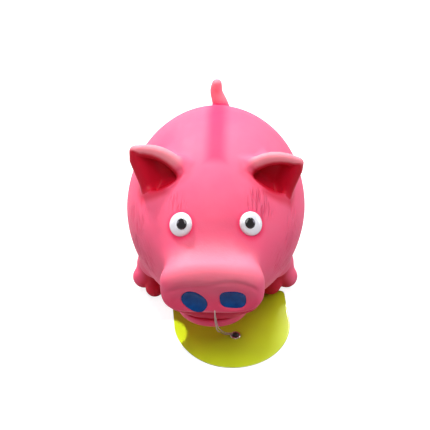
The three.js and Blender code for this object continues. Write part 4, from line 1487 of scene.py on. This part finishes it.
@dataclass(frozen=True)
class NostrilShape:
    """A nostril's outline on the face: a closed curve through a few points round its middle."""

    side: Side
    middle: tuple[float, float]
    long_half: tuple[float, float]
    short_half: tuple[float, float]
    squareness: float
    steps: int = 72

    @classmethod
    def left(cls) -> "NostrilShape":
        """The left nostril, a tilted oval."""
        return cls(Side.LEFT, (-9.7, 52.4), (6.1, -5.3), (3.1, 4.8), 2.3)

    @classmethod
    def right(cls) -> "NostrilShape":
        """The right nostril, a round-cornered oblong on its side."""
        return cls(Side.RIGHT, (11.4, 54.4), (7.3, 0.3), (-0.3, 6.3), 2.8)

    def curve(self) -> Array:
        """The outline about its middle: an oval between two slanted half-axes, filled at its corners."""
        shares = on_circle(full_turn(self.steps))
        shares = np.sign(shares) * np.abs(shares) ** (2 / self.squareness)
        return shares @ np.array([self.long_half, self.short_half])

    def outline_gap(self, x: Array, z: Array) -> Array:
        """Gap from the outline, measured along the line from the nostril's middle, negative inside."""
        curve = self.curve()
        angle = np.arctan2(curve[:, 1], curve[:, 0])
        order = np.argsort(angle)
        radius = np.hypot(curve[:, 0], curve[:, 1])
        away_x, away_z = x - self.middle[0], z - self.middle[1]
        reach = np.interp(np.arctan2(away_z, away_x), angle[order], radius[order], period=2 * math.pi)
        return np.hypot(away_x, away_z) - reach

@dataclass
class NostrilPaint:
    """The blue paint in a nostril's pocket: a glossy dish that climbs a little at its edge."""

    skin: PigSkin
    finish: PaintFinish
    edge_depth: float = 0.5
    dish_depth: float = 1.35
    dish_fullness: float = 2.4
    back_depth: float = 2.6
    rings: int = 14
    last_ring: float = 0.04

    def make(self, shape: NostrilShape) -> Piece:
        """Build one nostril's paint: rings shrink from the outline to the middle, deeper as they shrink.

        Args:
            shape: The nostril.

        Returns:
            The paint.
        """
        shares = np.linspace(1.0, self.last_ring, self.rings)
        depth = self.edge_depth + self.dish_depth * (1 - shares**self.dish_fullness)
        shares, depth = np.append(1.0, shares), np.append(self.back_depth, depth)
        flat = np.array(shape.middle) + shares[:, None, None] * shape.curve()
        x, z = flat[..., 0], flat[..., 1]
        y = self.skin.face_y + NOSE_SHIFT + self.skin.face_depth(x, z) + depth[:, None]
        rings = np.stack([x, y, z], axis=-1)
        middle_x, middle_z = shape.middle
        poles = [np.array([middle_x, rings[0, :, 1].mean(), middle_z]), rings[-1].mean(axis=0)]
        node = f"nostril_paint_{shape.side.name.lower()}"
        paint = piece_from_rings(f"{node}_drop", rings, poles)
        return settle(paint, Body.PIG, node, self.finish.make())


@dataclass
class Eye:
    """One eye: a thick white drop on the head, with a black drop on it."""

    skin: PigSkin
    side: Side
    white: PaintFinish
    black: PaintFinish
    radius: float = 6.8
    rise: float = 2.6
    sink: float = 1.6
    pupil_radius: float = 3.1
    pupil_rise: float = 1.0
    pupil_sink: float = 0.6
    pupil_bed: float = 0.12
    pupil_inset: float = 1.6
    sides: int = 64
    rings: int = 16
    foot_shade_share: float = 0.97
    arc_share: float = 0.97
    edge_fullness: float = 0.75
    top_fullness: float = 0.9

    def drop(
        self, centre: Array, facing: Array, radius: float, rise: float, sink: float
    ) -> tuple[Array, list[Array]]:
        """The rings and poles of a drop: a dome whose edge is rounder than an ellipse's, with its foot sunk.

        Args:
            centre: Middle of the drop's foot.
            facing: The way that the drop bulges.
            radius: Radius of its foot.
            rise: Height of its middle.
            sink: How far its foot goes into what it sits on.

        Returns:
            The rings from the foot to the top, and the poles under and over them.
        """
        level = unit(np.cross(np.array([0.0, 0.0, 1.0]), facing))
        upwards = np.cross(facing, level)
        angle = full_turn(self.sides)
        arc = np.linspace(0, 0.5 * math.pi * self.arc_share, self.rings)
        radii = np.append(radius * self.foot_shade_share, radius * np.cos(arc) ** self.edge_fullness)
        heights = np.append(-sink, rise * np.sin(arc) ** self.top_fullness)
        ring = np.cos(angle)[:, None] * level + np.sin(angle)[:, None] * upwards
        rings = centre + radii[:, None, None] * ring + heights[:, None, None] * facing
        return rings, [centre - sink * facing, centre + rise * facing]

    def make(self) -> None:
        """Build the white and the pupil, which sits a little inwards on it, and settle them."""
        label = self.side.name.lower()
        seat, facing = self.skin.eye_seat(self.side)
        centre = seat + np.array([0, NOSE_SHIFT, 0])
        inwards = np.array([-self.side.value, 0.0, 0.0])
        inwards = unit(inwards - (inwards @ facing) * facing)
        lift = self.rise * math.sqrt(1 - (self.pupil_inset / self.radius) ** 2)
        top = centre + self.pupil_inset * inwards + (lift - self.pupil_bed) * facing
        white = self.drop(centre, facing, self.radius, self.rise, self.sink)
        pupil = self.drop(top, facing, self.pupil_radius, self.pupil_rise, self.pupil_sink)
        ball = piece_from_rings(f"eye_drop_{label}", *white)
        settle(ball, Body.PIG, f"eye_white_{label}", self.white.make())
        dot = piece_from_rings(f"pupil_drop_{label}", *pupil)
        settle(dot, Body.PIG, f"pupil_{label}", self.black.make())


# The tag and its fittings


@dataclass
class Tag:
    """The blank card with its eyelet, and the button in the eyelet that holds the string's ends."""

    finish: CardFinish
    metal: MetalFinish
    plastic: PlasticFinish
    eyelet: Pair = (13.0, -52.65)
    turn: float = math.radians(6.4)
    half_width: float = 34.4
    round_centre: Pair = (-1.1, 9.8)
    far_edge: float = 35.5
    corner: float = 3
    hole_radius: float = 2.6
    card_low: float = 0.75
    thickness: float = 0.5
    edge_round: float = 0.1
    edge_reach: float = 34
    outline_steps: int = 220
    outline_limit: float = 80
    halvings: int = 40
    card_rings: int = 30
    ring_crowding: float = 0.8
    front_run: Span = (2, 26)
    front_drop: float = 0.62
    left_run: Span = (12, 36)
    left_rise: float = 0.9
    left_fade: float = 0.4
    roll_radius: float = 2.55
    roll_halves: Pair = (0.45, 0.42)
    roll_steps: int = 12
    roll_gap: float = 0.1
    flange_radius: float = 3.0
    flange_drop: float = 0.4
    flange_thickness: float = 0.3
    barrel_radius: float = 2.34
    bore_radius: float = 2.05
    eyelet_sides: int = 56
    foot_profile: tuple[Pair, ...] = ((2.5, 0.0), (2.5, 0.22), (1.6, 0.27), (1.55, 1.6), (1.8, 1.75))
    head_radius: float = 1.85
    head_height: float = 1.9
    head_rise: float = 1.2
    head_steps: int = 10
    head_arc: float = 0.46 * math.pi
    button_sides: int = 48

    def outside(self, x: Array, y: Array) -> Array:
        """How far places are outside the card's outline: a half circle that runs into a rectangle.

        At the rectangle's round corners it is the distance to the corner's middle, less its radius.

        Args:
            x: Places across the card, from the eyelet.
            y: Places along it.

        Returns:
            Distances, negative inside.
        """
        middle, start = self.round_centre
        in_round = np.hypot(x - middle, y - start) - self.half_width
        beside = np.abs(x - middle) - self.half_width + self.corner
        beyond = y - self.far_edge + self.corner
        in_corner = np.hypot(np.maximum(beside, 0), np.maximum(beyond, 0)) - self.corner
        return np.where(y < start, in_round, in_corner + np.minimum(np.maximum(beside, beyond), 0))

    def outline(self) -> Array:
        """Places on the outline as seen from the eyelet, found by halving the reach in every direction."""
        way = on_circle(full_turn(self.outline_steps)).T
        low, high = np.zeros(self.outline_steps), np.full(self.outline_steps, self.outline_limit)
        for _ in range(self.halvings):
            reach = (low + high) / 2
            within = self.outside(*(reach * way)) < 0
            low, high = np.where(within, reach, low), np.where(within, high, reach)
        return (low * way).T

    def lift(self, x: Array, y: Array) -> Array:
        """How far the card bows off its level: down in front, and up a little at its left edge."""
        front = smooth_step(-y, *self.front_run)
        left = smooth_step(-x, *self.left_run)
        return self.left_rise * left * (1 - self.left_fade * front) - self.front_drop * front

    def card(self) -> Piece:
        """Build the card: rings from the hole out to the edge, over it, and back underneath."""
        edge = self.outline()
        hole = self.hole_radius * on_circle(np.arctan2(edge[:, 1], edge[:, 0]))
        shares = np.linspace(0, 1, self.card_rings) ** self.ring_crowding
        flat = hole + shares[:, None, None] * (edge - hole)
        top = np.concatenate([flat[:-1], flat[-1:] * (1 - self.edge_round / self.edge_reach)])
        rings = np.concatenate([top, flat[-1:], flat[-1:], top[::-1]])
        low, high, rim = self.card_low, self.card_low + self.thickness, self.edge_round
        levels = np.repeat([high, high - rim, low + rim, low], [len(top), 1, 1, len(top)])
        x, y = rings[..., 0], rings[..., 1]
        cosine, sine = math.cos(self.turn), math.sin(self.turn)
        across = self.eyelet[0] + x * cosine - y * sine
        along = self.eyelet[1] + x * sine + y * cosine
        height = levels[:, None] + self.lift(x, y)
        card = piece_from_rings("blank_card", np.stack([across, along, height], axis=-1))
        bare = np.repeat([0, 1, 0], [len(top), 2, len(top)])
        keep_values(card, "edge", np.repeat(bare, self.outline_steps))
        return settle(card, Body.TAG, "tag_card", self.finish.make())

    def ring(self) -> Piece:
        """Build the eyelet: a barrel with a rolled flange over the card and a flat one under it."""
        low, high = self.card_low - self.flange_drop, self.card_low + self.thickness + self.roll_gap
        roll = np.linspace(math.pi, 0, self.roll_steps)
        roll_middle = np.array([self.roll_radius, high + self.roll_gap])
        over = roll_middle + self.roll_halves * on_circle(roll)
        flange_top = low + self.flange_thickness
        under = [
            (self.flange_radius, high), (self.barrel_radius, high), (self.barrel_radius, flange_top),
            (self.flange_radius, flange_top), (self.flange_radius, low), (self.bore_radius, low),
        ]
        rings = turned_rings(np.concatenate([over, under]), self.eyelet_sides, self.eyelet)
        ring = piece_from_rings("nickel_eyelet", rings[::-1])
        return settle(ring, Body.TAG, "tag_eyelet", self.metal.make())

    def stop(self) -> Piece:
        """Build the button: a disc under the card, a stem through the eyelet and a domed head."""
        dome = np.linspace(0, self.head_arc, self.head_steps)
        head = on_circle(dome) * (self.head_radius, self.head_rise) + (0, self.head_height)
        rings = turned_rings(np.concatenate([self.foot_profile, head]), self.button_sides, self.eyelet)
        poles = [np.array([*self.eyelet, height]) for height in (0.0, self.head_height + self.head_rise)]
        button = piece_from_rings("string_button", rings, poles)
        return settle(button, Body.STOP, "string_stop", self.plastic.make())

    def make(self) -> list[Piece]:
        """Build the card, its eyelet and the button."""
        return [self.card(), self.ring(), self.stop()]


@dataclass
class TagString:
    """The clear string: from the button up past the lip, round the hole in the rim, and back.

    Its two strands are places from the pig's own middle, in the order in which the string runs.
    """

    finish: PlasticFinish
    tag: Tag
    radius: float = 0.3
    start_gap: float = 1.9
    end_height: float = 2.55
    strand_gap: float = 0.4
    front_strand: tuple[Place, ...] = (
        (6.7, -60.3, 3.1), (5.6, -62.2, 5.6), (4.8, -66.4, 11), (4.1, -72.4, 17.5),
        (3.2, -78.2, 24), (2.4, -82.4, 31), (1.8, -84.5, 38),
    )
    back_strand: tuple[Place, ...] = (
        (2.2, -82.4, 38), (3.1, -81.7, 31.5), (4.5, -77.1, 24.2), (5.5, -71.5, 17.2),
        (6.4, -65.7, 10.6), (7, -61.7, 5.7), (8, -59.5, 3.2),
    )
    pivot: Place = (1.6, -83.4, 45.2)
    loop_radius: float = 1.5
    steps: int = 10

    def way(self) -> Array:
        """The string's way through its given points, in metres in the frame."""
        eyelet_x, eyelet_y = self.tag.eyelet
        start = np.array([eyelet_x - self.start_gap, eyelet_y - NOSE_SHIFT, self.end_height])
        ahead, behind = start - (0, self.strand_gap, 0), start + (0, self.strand_gap, 0)
        x, y, z = self.pivot
        angle = np.radians([0, 45, 90, 135, 180])
        turn = -self.loop_radius * np.cos(angle)
        loop = np.stack([np.full(len(angle), x), y + turn, z + self.loop_radius * np.sin(angle)], axis=-1)
        low = z - 2 * self.loop_radius
        points = np.vstack([
            ahead, ahead - (2.2, 0.05, 0), self.front_strand, (x, y + turn[0], low), loop,
            (x, y + turn[-1], low), self.back_strand, behind - (1.6, 0, 0), behind,
        ])
        return (round_curve(points, self.steps, closed=False) + np.array([0, NOSE_SHIFT, 0])) * MM

    def make(self, pieces: Sequence[Piece]) -> None:
        """Args:
            pieces: The separate pieces on the string; not used.
        """
        way = self.way()
        data = bpy.data.curves.new("clear_string", "CURVE")
        data.dimensions = "3D"
        data.bevel_depth = self.radius * MM
        data.bevel_resolution = 3
        data.use_fill_caps = True
        spline = data.splines.new("POLY")
        spline.points.add(len(way) - 1)
        spline.points.foreach_set("co", np.concatenate([way, np.ones((len(way), 1))], axis=1).ravel())
        string = bpy.data.objects.new("clear_string", data)
        bpy.context.scene.collection.objects.link(string)
        settle(string, Body.STRING, "tag_string", self.finish.make())
        tuple(way[0])
        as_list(pieces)


@dataclass
class Squeaker:
    """The squeaker in the belly. Its solids keep their shape and get their plastics."""

    body: PlasticFinish
    film: PlasticFinish

    def dress(self) -> None:
        """Give the solids of the squeaker their finishes."""
        plastic, film = self.body.make(), self.film.make()
        for name in ("squeaker_housing", "squeaker_tone_board", "squeaker_wedge"):
            self.repaint(name, plastic)
        self.repaint("squeaker_reed", film)

    def repaint(self, name: str, material: bpy.types.Material) -> None:
        """Put one material on all the slots of a solid."""
        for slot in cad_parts[name].material_slots:
            slot.material = material
        log.info("%s: painted", name)


def main() -> None:
    """Build the scene: camera and string first, then the pig, its face and its squeaker, and the lights."""
    logging.basicConfig(level=logging.INFO, format="%(name)s %(message)s")
    bpy.context.scene.view_settings.view_transform = "Standard"
    studio = Studio()
    studio.camera()
    tag = Tag(CardFinish(), MetalFinish(), PlasticFinish("dark_button", (0.012, 0.009, 0.008), 0.3))
    TagString(PlasticFinish("clear_string", (0.80, 0.66, 0.60), 0.25, 0.35), tag).make(tag.make())
    skin = PigSkin()
    skin.make()
    white = PaintFinish("eye_white_gloss", (0.86, 0.87, 0.90), (0.78, 0.79, 0.83))
    black = PaintFinish("pupil_gloss", (0.010, 0.006, 0.009), (0.004, 0.003, 0.004))
    for side in Side:
        Eye(skin, side, white, black).make()
    blue = PaintFinish("nostril_gloss", (0.003, 0.080, 0.32), (0.003, 0.050, 0.22), 0.25, 0.1, shine=0.12)
    for shape in skin.nostrils:
        NostrilPaint(skin, blue).make(shape)
    plastic = PlasticFinish("squeaker_plastic", (0.80, 0.79, 0.74), 0.4)
    Squeaker(plastic, PlasticFinish("reed_film", (0.7, 0.66, 0.55), 0.3, 0.3)).dress()
    studio.light()
    studio.floor()


if __name__ == "__main__":
    main()
